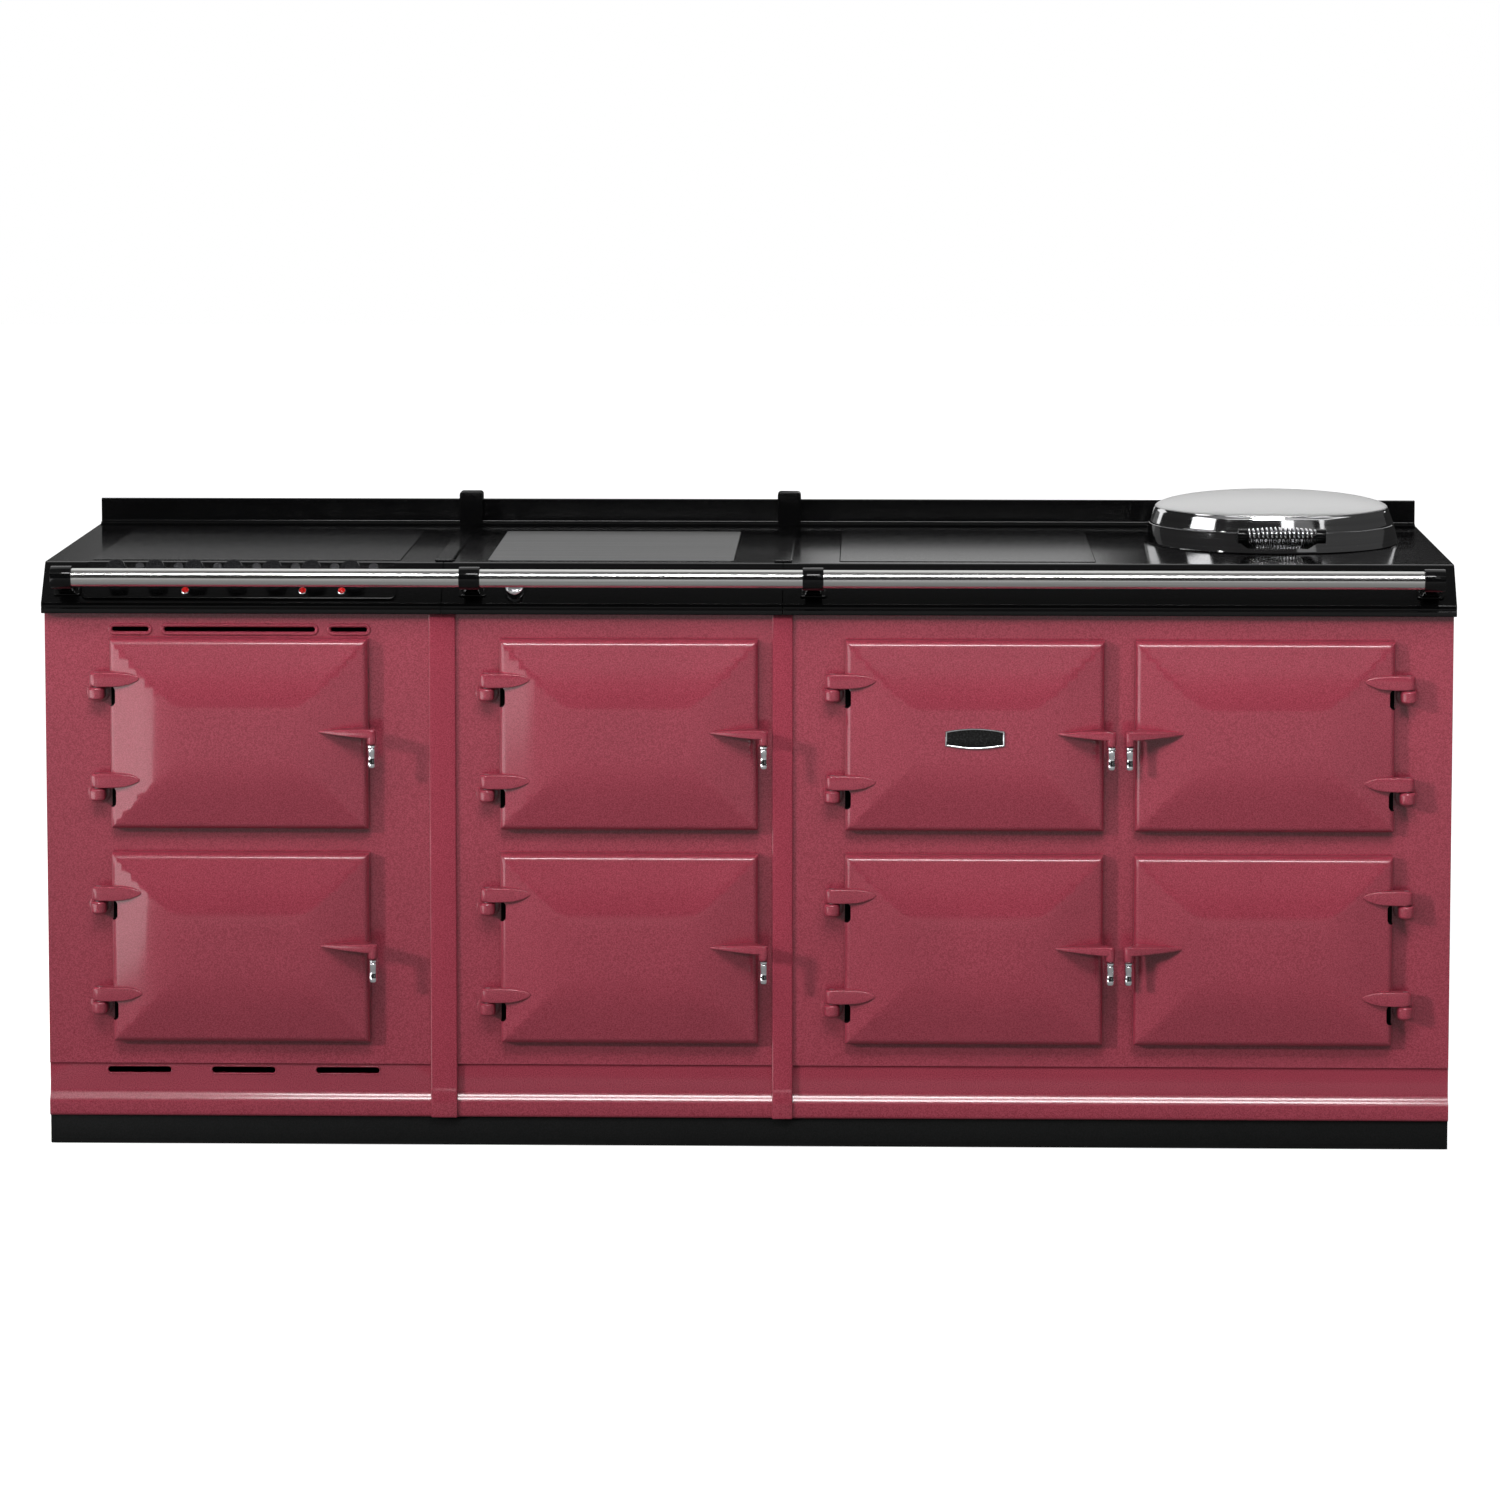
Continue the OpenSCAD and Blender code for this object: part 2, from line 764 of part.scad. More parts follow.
module crown_hollow() {
    slope_t = crown_t / cos(nose_tilt);
    wall_y = face_y - nose_out - lip_out + crown_t;
    slope_z = nose_z + (wall_y - slope_t - face_y + nose_out) / tan(nose_tilt);
    top_y = nose_top_y - crown_t * tan(nose_tilt) + slope_t;
    polygon([
        [back_y - crown_t, crown_z - over],
        [back_y - crown_t, slab_z],
        [top_y, slab_z],
        [wall_y, max(slope_z, crown_z + seat_t)],
        [wall_y, crown_z + seat_t],
        [face_y + seat_d, crown_z + seat_t],
        [face_y + seat_d, crown_z - over]
    ]);
}

module crown(m) {
    x0 = mod_x[m] + (m == 0 ? -end_out : module_gap / 2);
    x1 = mod_x[m] + mod_w[m] + (m == 2 ? end_out : -module_gap / 2);
    difference() {
        along_x(x0, x1)
            crown_outline();
        along_x(x0 + crown_t, x1 - crown_t)
            crown_hollow();
    }
}

// Recess for a glass or a plate, with a ledge round a rectangular window
module hob_recess(hob) {
    low = [hob[0], face_y + hob_in];
    high = low + [hob[1], hob[2]];
    recess_z = hob_z + glass_up - glass_t;
    box(
        [low[0] - glass_gap, low[1] - glass_gap, recess_z],
        [high[0] + glass_gap, high[1] + glass_gap, hob_z + over]
    );
    box(
        [low[0] + ledge_w, low[1] + ledge_w, slab_z - over],
        [high[0] - ledge_w, high[1] - ledge_w, hob_z + over]
    );
}

module hob_sheet(hob) {
    recess_z = hob_z + glass_up - glass_t;
    translate([hob[0] + hob[1] / 2, face_y + hob_in + hob[2] / 2, recess_z])
        linear_extrude(glass_t)
            rounded_rect(hob[1], hob[2], glass_t);
}

module panel_window() {
    w = panel_w - 2 * panel_lap;
    h = panel_h - 2 * panel_lap;
    on_slope(panel_x)
        translate([-w / 2, -h / 2, -2 * crown_t])
            cube([w, h, 2 * crown_t + panel_t]);
}

module top_plate_left() {
    color(black_enamel)
        difference() {
            crown(0);
            hob_recess(ceramic);
            panel_window();
        }
}

module top_plate_middle() {
    color(black_enamel)
        difference() {
            crown(1);
            hob_recess(warm);
            on_slope(mod_x[1] + timer_x, -timer_down)
                translate([0, 0, -2 * crown_t])
                    cylinder(d = spindle_d + 2 * spindle_fit, h = 3 * crown_t);
        }
}

// Ears of the lid's hinge, on the right top plate
module lid_ears() {
    for (side = [-1, 1]) {
        x0 = lid_pin_at[0] + side * (barrel_w / 2 + ear_gap + ear_w / 2) - ear_w / 2;
        difference() {
            union() {
                translate([x0, lid_pin_at[1], lid_pin_at[2]])
                    rotate([0, 90, 0])
                        cylinder(r = barrel_r, h = ear_w);
                box([x0, lid_pin_at[1] - barrel_r, hob_z - over], [x0 + ear_w, lid_pin_at[1] + barrel_r, lid_pin_at[2]]);
            }
            translate([x0 - over, lid_pin_at[1], lid_pin_at[2]])
                rotate([0, 90, 0])
                    cylinder(d = lid_pin_d + 2 * pin_fit, h = ear_w + 2 * over);
        }
    }
}

module top_plate_right() {
    color(black_enamel) {
        difference() {
            crown(2);
            hob_recess(induction);
            translate(lid_at - [0, 0, crown_t + over])
                cylinder(r = hotplate_r + hotplate_gap, h = crown_t + 2 * over);
        }
        lid_ears();
    }
}

// Splashbacks along the wall, between the rear caps of the joint covers
module splashbacks() {
    x0 = [mod_x[0], mod_x[1] + cap_w / 2, mod_x[2] + cap_w / 2];
    x1 = [mod_x[1] - cap_w / 2, mod_x[2] - cap_w / 2, width_all / 2];
    color(black_enamel)
        for (m = [0:2])
            along_x(x0[m], x1[m])
                polygon([
                    [back_y, hob_z],
                    [back_y, hob_z + splash_h],
                    [back_y - splash_t, hob_z + splash_h],
                    [back_y - splash_t, hob_z + splash_foot_h],
                    [back_y - splash_foot_d, hob_z + splash_foot_h],
                    [back_y - splash_foot_d, hob_z]
                ]);
}

module joint_covers() {
    color(black_enamel)
        for (x = strip_x) {
            box([x - cover_w / 2, nose_top_y + nose_round, hob_z], [x + cover_w / 2, back_y - cap_d, hob_z + cover_t]);
            translate([x, 0, hob_z])
                along_y(back_y - cap_d, back_y)
                    translate([0, cap_h / 2])
                        rounded_rect(cap_w, cap_h, cover_t);
        }
}

// Towel rails and their brackets
module towel_rails() {
    color(satin_steel)
        for (i = [0:2]) {
            x0 = bracket_x[i] + sleeve_web / 2;
            x1 = bracket_x[i + 1] - sleeve_web / 2;
            translate([x0, rail_y, rail_z])
                rotate([0, 90, 0])
                    difference() {
                        cylinder(d = rail_d, h = x1 - x0);
                        translate([0, 0, -over])
                            cylinder(d = rail_d - 2 * rail_t, h = x1 - x0 + 2 * over);
                    }
        }
}

module rail_bracket(x, left_socket, right_socket) {
    socket = (sleeve_w - sleeve_web) / 2;
    arm_low_z = slope_mid[1] - nose_rise / 3;
    arm_top_z = slope_mid[1] + nose_rise / 6;
    difference() {
        union() {
            translate([x - sleeve_w / 2, rail_y, rail_z])
                rotate([0, 90, 0])
                    cylinder(d = sleeve_d, h = sleeve_w);
            along_x(x - bracket_arm_w / 2, x + bracket_arm_w / 2)
                polygon([
                    [rail_y, rail_z + sleeve_d / 4],
                    [rail_y - sleeve_d / 4, rail_z - sleeve_d / 4],
                    [slope_mid[0] + (arm_low_z - slope_mid[1]) * tan(nose_tilt), arm_low_z],
                    [slope_mid[0] + (arm_top_z - slope_mid[1]) * tan(nose_tilt), arm_top_z]
                ]);
            on_slope(x, -nose_rise / 8)
                linear_extrude(bracket_foot_t)
                    rounded_rect(bracket_foot_w, nose_rise * 3 / 4, bracket_foot_t);
        }
        if (left_socket)
            translate([x - sleeve_w / 2 - over, rail_y, rail_z])
                rotate([0, 90, 0])
                    cylinder(r = rail_d / 2 + rail_fit, h = socket + over);
        if (right_socket)
            translate([x + sleeve_web / 2, rail_y, rail_z])
                rotate([0, 90, 0])
                    cylinder(r = rail_d / 2 + rail_fit, h = socket + over);
    }
}

module rail_brackets() {
    color(black_enamel)
        for (i = [0:3])
            rail_bracket(bracket_x[i], i > 0, i < 3);
}

// Hob surfaces
module glass_hobs() {
    color(iron) {
        hob_sheet(ceramic);
        hob_sheet(induction);
    }
}

module warming_plate() {
    color(satin_steel)
        hob_sheet(warm);
}

module hotplate() {
    color(iron)
        translate(lid_at) {
            translate([0, 0, hotplate_up - hotplate_t])
                cylinder(r = hotplate_r, h = hotplate_t);
            translate([0, 0, -crown_t - hotplate_rim_t])
                cylinder(r = hotplate_r + hotplate_rim, h = hotplate_rim_t);
        }
}

// Control panel: seven knobs, seven small discs and three lamps
function knob_x(i) = mod_x[0] + panel_left + knob_left + i * knob_pitch;
function lamp_x(i) = knob_x(i) + disc_off / 2 + knob_pitch / 2;
lamp_at = [1, 4, 5];

module control_panel() {
    color(black_enamel)
        difference() {
            on_slope(panel_x)
                linear_extrude(panel_t)
                    rounded_rect(panel_w, panel_h, crown_t);
            for (i = [0:knob_n - 1]) {
                on_slope(knob_x(i), knob_up)
                    translate([0, 0, -over])
                        cylinder(d = spindle_d + 2 * spindle_fit, h = panel_t + 2 * over);
                on_slope(knob_x(i) + disc_off, disc_up)
                    translate([0, 0, -over])
                        cylinder(d = disc_d / 2 + 2 * button_fit, h = panel_t + 2 * over);
            }
            for (i = lamp_at)
                on_slope(lamp_x(i), -lamp_down)
                    translate([0, 0, -over])
                        cylinder(d = lamp_d / 2 + 2 * button_fit, h = panel_t + 2 * over);
        }
}

// A round button that sits on the panel, with a stem through it
module button(d) {
    cylinder(d = d / 2, h = panel_t);
    translate([0, 0, panel_t])
        cylinder(d = d, h = button_up);
}

module panel_indicators() {
    color("red")
        for (i = lamp_at)
            on_slope(lamp_x(i), -lamp_down)
                button(lamp_d);
    color(chrome)
        for (i = [0:knob_n - 1])
            on_slope(knob_x(i) + disc_off, disc_up)
                button(disc_d);
}

// Knobs; their +Z points out of the slope
module knob(i) {
    color(chrome)
        on_slope(knob_x(i), knob_up)
            translate([0, 0, panel_t + knob_gap]) {
                cylinder(d = knob_skirt_d, h = knob_skirt_h);
                translate([0, 0, knob_skirt_h])
                    cylinder(d1 = knob_cap_d + knob_skirt_h, d2 = knob_cap_d, h = knob_h - knob_skirt_h);
                translate([0, 0, -spindle_h])
                    cylinder(d = spindle_d, h = spindle_h + over);
            }
}

module timer_knob() {
    color(chrome)
        on_slope(mod_x[1] + timer_x, -timer_down)
            translate([0, 0, knob_gap]) {
                cylinder(d = timer_d, h = timer_h);
                translate([0, 0, -spindle_h])
                    cylinder(d = spindle_d, h = spindle_h + over);
            }
}

// Ovens: cast liners with a pair of runners, and a wire shelf on the runners
module oven_liner() {
    difference() {
        box(
            [-oven_w / 2 - oven_t, plate_t, -oven_h / 2 - oven_t],
            [oven_w / 2 + oven_t, plate_t + oven_d, oven_h / 2 + oven_t]
        );
        box([-oven_w / 2, plate_t - over, -oven_h / 2], [oven_w / 2, plate_t + oven_d - oven_t, oven_h / 2]);
    }
    for (side = [-1, 1])
        translate([side * (oven_w / 2 - runner_w / 2) - runner_w / 2, plate_t, -oven_h / 2 + runner_z])
            cube([runner_w, oven_d - oven_t, runner_h]);
}

module oven_liners() {
    color(iron)
        for (column = [LEFT, MIDDLE, INNER, OUTER], row = [LOW, TOP])
            at_door(column, row)
                oven_liner();
}

module oven_shelf() {
    w = oven_w - 2 * shelf_gap;
    y0 = plate_t + plug_gap;
    y1 = plate_t + oven_d - oven_t - shelf_gap;
    z = -oven_h / 2 + runner_z + runner_h;
    for (x = [-w / 2, w / 2 - bar_w])
        box([x, y0, z], [x + bar_w, y1, z + bar_w]);
    for (y = [y0, y1 - bar_w])
        box([-w / 2, y, z], [w / 2, y + bar_w, z + bar_w]);
    for (i = [1:rod_n])
        translate([-w / 2 + i * w / (rod_n + 1), y0 + bar_w / 2, z + bar_w / 2])
            rotate([-90, 0, 0])
                cylinder(d = rod_d, h = y1 - y0 - bar_w);
}

module oven_shelves() {
    color(chrome)
        for (column = [LEFT, MIDDLE, INNER, OUTER], row = [LOW, TOP])
            at_door(column, row)
                oven_shelf();
}

// Hinge pins of the doors and of the lid
module hinge_pins() {
    color(sheet_steel) {
        for (column = [LEFT, MIDDLE, INNER, OUTER], row = [LOW, TOP], z = lug_z)
            at_door(column, row)
                translate([-door_w / 2 - pin_out, -pin_ahead, z])
                    cylinder(d = pin_d, h = lug_h + arm_gap + arm_h);
        translate(lid_pin_at - [barrel_w / 2 + ear_gap + ear_w, 0, 0])
            rotate([0, 90, 0])
                cylinder(d = lid_pin_d, h = barrel_w + 2 * (ear_gap + ear_w));
    }
}

// Notch in the door's edge, which clears a hinge lug
module lug_notch() {
    along_y(-door_gap - rim_t - field_rise, -door_gap + over)
        translate([-door_w / 2, -notch_h / 2])
            rounded_rect(2 * notch_w, notch_h, door_r);
}

// Door casting: rim, hipped field, two hinge arms and the handle's horn
module hipped(w, h, rise, run) {
    intersection() {
        translate([0, 0, -h / 2])
            linear_extrude(h)
                polygon([[-w / 2, 0], [-w / 2 + run, -rise], [w / 2 - run, -rise], [w / 2, 0]]);
        along_x(-w / 2, w / 2)
            polygon([[0, -h / 2], [-rise, -h / 2 + run], [-rise, h / 2 - run], [0, h / 2]]);
    }
}

module hinge_arm() {
    eye = [-door_w / 2 - pin_out, -pin_ahead];
    translate([eye[0], eye[1], 0])
        cylinder(r = eye_r, h = arm_h);
    linear_extrude(arm_h)
        polygon([
            [eye[0], eye[1] - eye_r],
            [-door_w / 2 + arm_reach * 3 / 4, eye[1] - eye_r],
            [-door_w / 2 + arm_reach, -door_gap - rim_t],
            [-door_w / 2 + arm_reach, -door_gap - rim_t / 2],
            [-door_w / 2, -door_gap - rim_t / 2],
            [eye[0], eye[1] + eye_r / 2]
        ]);
}

function bezier(a, b, c, t) = (1 - t) * (1 - t) * a + 2 * t * (1 - t) * b + t * t * c;

// Plan of the horn: it leaves the field in a curve and ends at the knuckle
module horn() {
    tip = [door_w / 2 - horn_in, field_y + door_wall / 2];
    end = [door_w / 2 + horn_out, -horn_ahead];
    steps = 10;
    front = [for (i = [0:steps]) bezier(tip, [door_w / 2 - horn_in / 2, -horn_ahead], end - [0, horn_r], i / steps)];
    rear = [for (i = [0:steps]) bezier(
        end + [0, horn_r],
        [door_w / 2, -horn_ahead + 2 * horn_r],
        [door_w / 2 - horn_r, -door_gap - rim_t / 2],
        i / steps
    )];
    intersection() {
        linear_extrude(horn_t)
            polygon(concat(front, rear, [[tip[0], -door_gap - rim_t]]));
        along_y(-horn_ahead - 2 * horn_r, 0)
            polygon([
                [tip[0] - 1, horn_t / 2 - 1],
                [tip[0] - 1, horn_t / 2 + 1],
                [door_w / 2, horn_t],
                [end[0] + horn_r, horn_t],
                [end[0] + horn_r, 0],
                [door_w / 2, 0]
            ]);
    }
    translate([end[0], end[1], horn_t - knuckle_h])
        cylinder(r = horn_r, h = knuckle_h);
}

module door(column, row) {
    rim_in = 5;
    color(enamel)
        at_door(column, row)
            difference() {
                union() {
                    along_y(-door_gap - rim_t, -door_gap)
                        rounded_rect(door_w, door_h, door_r);
                    translate([0, -door_gap - rim_t, 0])
                        hipped(door_w - 2 * rim_in, door_h - 2 * rim_in, field_rise, field_run);
                    for (z = arm_z)
                        translate([0, 0, z - arm_h / 2])
                            hinge_arm();
                    horn();
                }
                for (z = arm_z)
                    translate([0, 0, z - arm_h / 2])
                        lug_notch();
                box(
                    [-door_w / 2 + 2 * door_wall, -door_gap - rim_t + door_wall, -door_h / 2 + 2 * door_wall],
                    [door_w / 2 - 2 * door_wall, -door_gap + over, door_h / 2 - 2 * door_wall]
                );
                translate([0, -door_gap - rim_t + door_wall, 0])
                    hipped(
                        door_w - 2 * rim_in - 2 * door_wall - horn_r,
                        door_h - 2 * rim_in - 2 * door_wall - horn_r,
                        field_rise,
                        field_run
                    );
                for (z = arm_z)
                    translate([-door_w / 2 - pin_out, -pin_ahead, z - arm_h / 2 - over])
                        cylinder(r = pin_d / 2 + pin_fit, h = arm_h + 2 * over);
                translate([door_w / 2 + horn_out, -horn_ahead, horn_t - knuckle_h - over])
                    cylinder(r = stud_d / 2 + stud_fit, h = stud_h + 2 * over);
            }
}

// Lining: a flange inside the casting and a plug that reaches into the oven's mouth
module lining(column, row) {
    color(satin_steel)
        at_door(column, row) {
            box(
                [-door_w / 2 + 2 * door_wall, -door_gap - lining_t, -door_h / 2 + 2 * door_wall],
                [door_w / 2 - 2 * door_wall, -door_gap, door_h / 2 - 2 * door_wall]
            );
            box(
                [-oven_w / 2 + plug_gap, -door_gap, -oven_h / 2 + plug_gap],
                [oven_w / 2 - plug_gap, plug_d, oven_h / 2 - plug_gap]
            );
        }
}

module grip(column, row) {
    color(chrome)
        at_door(column, row)
            translate([door_w / 2 + horn_out, -horn_ahead, horn_t - knuckle_h]) {
                translate([0, 0, -grip_h])
                    cylinder(d = grip_d, h = grip_h);
                cylinder(d = stud_d, h = stud_h);
            }
}

module door_badge() {
    half = badge_w / 2;
    steps = 12;
    top = [for (i = [-steps:steps]) [half * i / steps, badge_end_h / 2 + badge_bulge * cos(90 * i / steps)]];
    bottom = [for (i = [steps:-1:-steps]) [half * i / steps, -badge_end_h / 2 - badge_bulge * cos(90 * i / steps)]];
    color(chrome)
        at_door(INNER, TOP)
            along_y(field_y - badge_t, field_y)
                polygon(concat(top, bottom));
}

// Lid: dome, foot ring with its lining plate, coil handle
function dome_point(t, inset) = let (r = shoulder_r - inset, h = dome_h - shoulder_h)
    [r * sin(90 * t), shoulder_h - inset + h * cos(90 * t)];

module lid_dome() {
    steps = 14;
    outer = [for (i = [0:steps]) dome_point(i / steps, 0)];
    inner = [for (i = [steps:-1:0]) dome_point(i / steps, lid_t)];
    color(satin_steel)
        translate(lid_at)
            rotate_extrude()
                polygon(concat(outer, [[seam_r, seam_h], [seam_r - lid_t, seam_h]], inner));
}

module lid_ring() {
    barrel_y = lid_pin_at[1] - lid_at[1];
    color(chrome)
        translate(lid_at)
            difference() {
                union() {
                    rotate_extrude()
                        polygon([
                            [0, seam_h - lid_lining_t],
                            [lid_r - ring_t, seam_h - lid_lining_t],
                            [lid_r - ring_t, lid_gap],
                            [lid_r, lid_gap],
                            [seam_r, seam_h],
                            [0, seam_h]
                        ]);
                    translate([-barrel_w / 2, barrel_y, lid_pin_h])
                        rotate([0, 90, 0])
                            cylinder(r = barrel_r, h = barrel_w);
                    box([-barrel_w / 2, seam_r - ring_t / 2, lid_pin_h - barrel_r], [barrel_w / 2, barrel_y, lid_pin_h + barrel_r]);
                }
                translate([-barrel_w / 2 - over, barrel_y, lid_pin_h])
                    rotate([0, 90, 0])
                        cylinder(d = lid_pin_d + 2 * pin_fit, h = barrel_w + 2 * over);
            }
}

// Handle frame: two posts that reach forward from the ring, and the rod inside the coil
module lid_handle_frame() {
    rear_y = -sqrt(lid_r * lid_r - pow(coil_len / 2 + post_w, 2)) + ring_t / 2;
    low_z = handle_h - post_h / 2;
    color(black_enamel)
        translate(lid_at)
            difference() {
                union() {
                    for (side = [-1, 1]) {
                        x0 = side * (coil_len / 2 + post_w / 2) - post_w / 2;
                        box([x0, handle_y, low_z], [x0 + post_w, rear_y, seam_h - lid_gap]);
                        translate([x0, handle_y, handle_h])
                            rotate([0, 90, 0])
                                cylinder(d = post_h, h = post_w);
                    }
                    translate([-coil_len / 2 - over, handle_y, handle_h])
                        rotate([0, 90, 0])
                            cylinder(d = rod_core_d, h = coil_len + 2 * over);
                }
                rotate_extrude($fn = 96)
                    polygon([
                        [0, -over],
                        [lid_r + (lid_r - seam_r) * over / seam_h + lid_gap / 2, -over],
                        [seam_r + lid_gap / 2, seam_h + over],
                        [0, seam_h + over]
                    ]);
            }
}

// Coil: one tube along a helix whose radius swells in the middle. In the unrolled plane the wire
// leaves each post straight along X, bends through a fillet and then winds.
curl_rings = 8;
wire_sides = 6;
fillet_r = 2.5 * wire_r;
fillet_steps = 3;
pitch = (coil_len - 2 * (2 * wire_r + fillet_r)) / turns;

function coil_r(x) = coil_end_r + (coil_mid_r - coil_end_r) * sin(180 * (x / coil_len + 0.5));

// Points as [x, angle] over one half of the fillet, then over the helix
start_x = -coil_len / 2;
helix_x = start_x + 2 * wire_r + fillet_r;
fillet_angle = fillet_r / coil_end_r * 180 / PI;
coil_start = concat(
    [[start_x, -fillet_angle], [start_x + 2 * wire_r, -fillet_angle]],
    [for (i = [1:fillet_steps - 1]) let (a = 90 * i / fillet_steps)
        [start_x + 2 * wire_r + fillet_r * sin(a), -fillet_angle * cos(a)]]
);
coil_turns = [for (i = [0:turns * curl_rings]) [helix_x + pitch * i / curl_rings, 360 * i / curl_rings]];
coil_end = [for (i = [len(coil_start) - 1:-1:0]) [-coil_start[i][0], 360 * turns - coil_start[i][1]]];
coil_route = [for (p = concat(coil_start, coil_turns, coil_end))
    [p[0], coil_r(p[0]) * cos(p[1]), coil_r(p[0]) * sin(p[1])]];

function unit(v) = v / norm(v);
function tangent(route, i) = i == 0 || i == len(route) - 1
    ? [1, 0, 0]
    : unit(route[i + 1] - route[i - 1]);

// Corners of the wire's section at one point of its route
function section(route, i) = let (
        t = tangent(route, i),
        radial = unit([0, route[i][1], route[i][2]]),
        n = unit(radial - (radial * t) * t),
        b = cross(t, n)
    )
    [for (k = [0:wire_sides - 1]) let (a = 360 * k / wire_sides) route[i] + wire_r * (cos(a) * n + sin(a) * b)];

// Least gap between two stretches of the wire that lie at least half a turn apart
coil_gap = min([
    for (i = [0:len(coil_route) - 1], j = [i + curl_rings / 2:1:len(coil_route) - 1])
        norm(coil_route[i] - coil_route[j])
]) - 2 * wire_r;
echo(coil_gap = coil_gap);

module lid_coil() {
    n = len(coil_route);
    points = [for (i = [0:n - 1]) each section(coil_route, i)];
    sides = [for (i = [0:n - 2], k = [0:wire_sides - 1]) let (
            a = i * wire_sides + k,
            b = i * wire_sides + (k + 1) % wire_sides
        )
        each [[a, a + wire_sides, b], [b, a + wire_sides, b + wire_sides]]];
    first = [for (k = [1:wire_sides - 2]) [0, k, k + 1]];
    last = [for (k = [1:wire_sides - 2]) let (o = (n - 1) * wire_sides) [o, o + k + 1, o + k]];
    color(chrome)
        translate(lid_at + [0, handle_y, handle_h])
            polyhedron(points, concat(sides, first, last));
}

plinth();
levelling_feet();
casings();
front_plate(0, [LEFT]);  // front_plate_left
front_plate(1, [MIDDLE]);  // front_plate_middle
front_plate(2, [INNER, OUTER]);  // front_plate_right
skirt_panels();
cover_strips();
top_plate_left();
top_plate_middle();
top_plate_right();
splashbacks();
joint_covers();
towel_rails();
rail_brackets();
glass_hobs();
warming_plate();
hotplate();
control_panel();
panel_indicators();
oven_liners();
oven_shelves();
hinge_pins();
door(LEFT, TOP);  // left_top_door
lining(LEFT, TOP);  // left_top_lining
grip(LEFT, TOP);  // left_top_grip
door(LEFT, LOW);  // left_low_door
lining(LEFT, LOW);  // left_low_lining
grip(LEFT, LOW);  // left_low_grip
door(MIDDLE, TOP);  // middle_top_door
lining(MIDDLE, TOP);  // middle_top_lining
grip(MIDDLE, TOP);  // middle_top_grip
door(MIDDLE, LOW);  // middle_low_door
lining(MIDDLE, LOW);  // middle_low_lining
grip(MIDDLE, LOW);  // middle_low_grip
door(INNER, TOP);  // inner_top_door
lining(INNER, TOP);  // inner_top_lining
grip(INNER, TOP);  // inner_top_grip
door(INNER, LOW);  // inner_low_door
lining(INNER, LOW);  // inner_low_lining
grip(INNER, LOW);  // inner_low_grip
door(OUTER, TOP);  // outer_top_door
lining(OUTER, TOP);  // outer_top_lining
grip(OUTER, TOP);  // outer_top_grip
door(OUTER, LOW);  // outer_low_door
lining(OUTER, LOW);  // outer_low_lining
grip(OUTER, LOW);  // outer_low_grip
door_badge();
lid_dome();
lid_ring();
lid_coil();
lid_handle_frame();
knob(0);  // knob_1
knob(1);  // knob_2
knob(2);  // knob_3
knob(3);  // knob_4
knob(4);  // knob_5
knob(5);  // knob_6
knob(6);  // knob_7
timer_knob();
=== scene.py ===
import bpy
import bmesh
from math import pi, sin, cos, tan, sqrt, radians, atan2
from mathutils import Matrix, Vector


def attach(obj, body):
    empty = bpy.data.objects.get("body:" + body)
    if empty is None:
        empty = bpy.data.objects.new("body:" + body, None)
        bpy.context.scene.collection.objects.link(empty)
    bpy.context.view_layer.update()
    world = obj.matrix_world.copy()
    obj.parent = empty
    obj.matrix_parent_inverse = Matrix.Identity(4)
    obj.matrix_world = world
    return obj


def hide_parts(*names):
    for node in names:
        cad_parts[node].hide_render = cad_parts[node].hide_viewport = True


# Range cooker: three modules, eight oven doors, two glass hobs, a warming plate and a lidded hotplate.
# Metres. +X right, +Y to the wall, +Z up.

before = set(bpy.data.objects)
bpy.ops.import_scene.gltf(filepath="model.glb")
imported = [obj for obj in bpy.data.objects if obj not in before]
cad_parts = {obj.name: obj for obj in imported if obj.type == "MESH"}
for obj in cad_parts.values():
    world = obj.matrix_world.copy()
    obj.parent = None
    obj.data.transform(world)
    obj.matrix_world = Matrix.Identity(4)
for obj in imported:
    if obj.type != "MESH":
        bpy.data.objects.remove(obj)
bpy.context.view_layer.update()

# main lines of the body, shared by the pieces
body = {
    "left": -1.050, "right": 1.050, "face": -0.2685, "caseFront": -0.2565, "back": 0.3515,
    "seams": (-0.455, 0.053), "plinthTop": 0.045, "plateLow": 0.125, "plateTop": 0.807, "hob": 0.880,
    "doorWidth": 0.386, "doorHeight": 0.286, "rows": {"low": 0.3045, "top": 0.627},
    "columns": {"left": (-0.758, -1), "middle": (-0.176, -1), "inner": (0.339, -1), "outer": (0.770, 1)},
    "modules": {"left": ("left",), "middle": ("middle",), "right": ("inner", "outer")},
    "jointGap": 0.0005, "lid": (0.804, 0.1035), "pinHole": 0.00405, "spindleHole": 0.00305,
}
lidCentre = (*body["lid"], body["hob"])


def moduleEnds(m, outward=0.0):
    # left and right end of a module, with a gap at the joints
    edges = [body["left"], *body["seams"], body["right"]]
    return edges[m] + (body["jointGap"] if m else -outward), edges[m + 1] - (
        body["jointGap"] if m < 2 else -outward
    )


def besideCovers(widths):
    # left and right ends of the three stretches beside covers of these widths
    ends = [body["left"]]
    for x, width in zip(body["seams"], widths):
        ends += [x - width / 2, x + width / 2]
    ends.append(body["right"])
    return list(zip(ends[::2], ends[1::2]))


def eachDoor():
    for column, (x, side) in body["columns"].items():
        for row, z in body["rows"].items():
            yield f"{column}_{row}", (x, body["face"], z), 0 if side > 0 else None


# ---- small tools used for every piece

def selectOnly(piece):
    bpy.ops.object.select_all(action="DESELECT")
    bpy.context.view_layer.objects.active = piece
    piece.select_set(True)


def editOn(piece):
    selectOnly(piece)
    bpy.ops.object.mode_set(mode="EDIT")


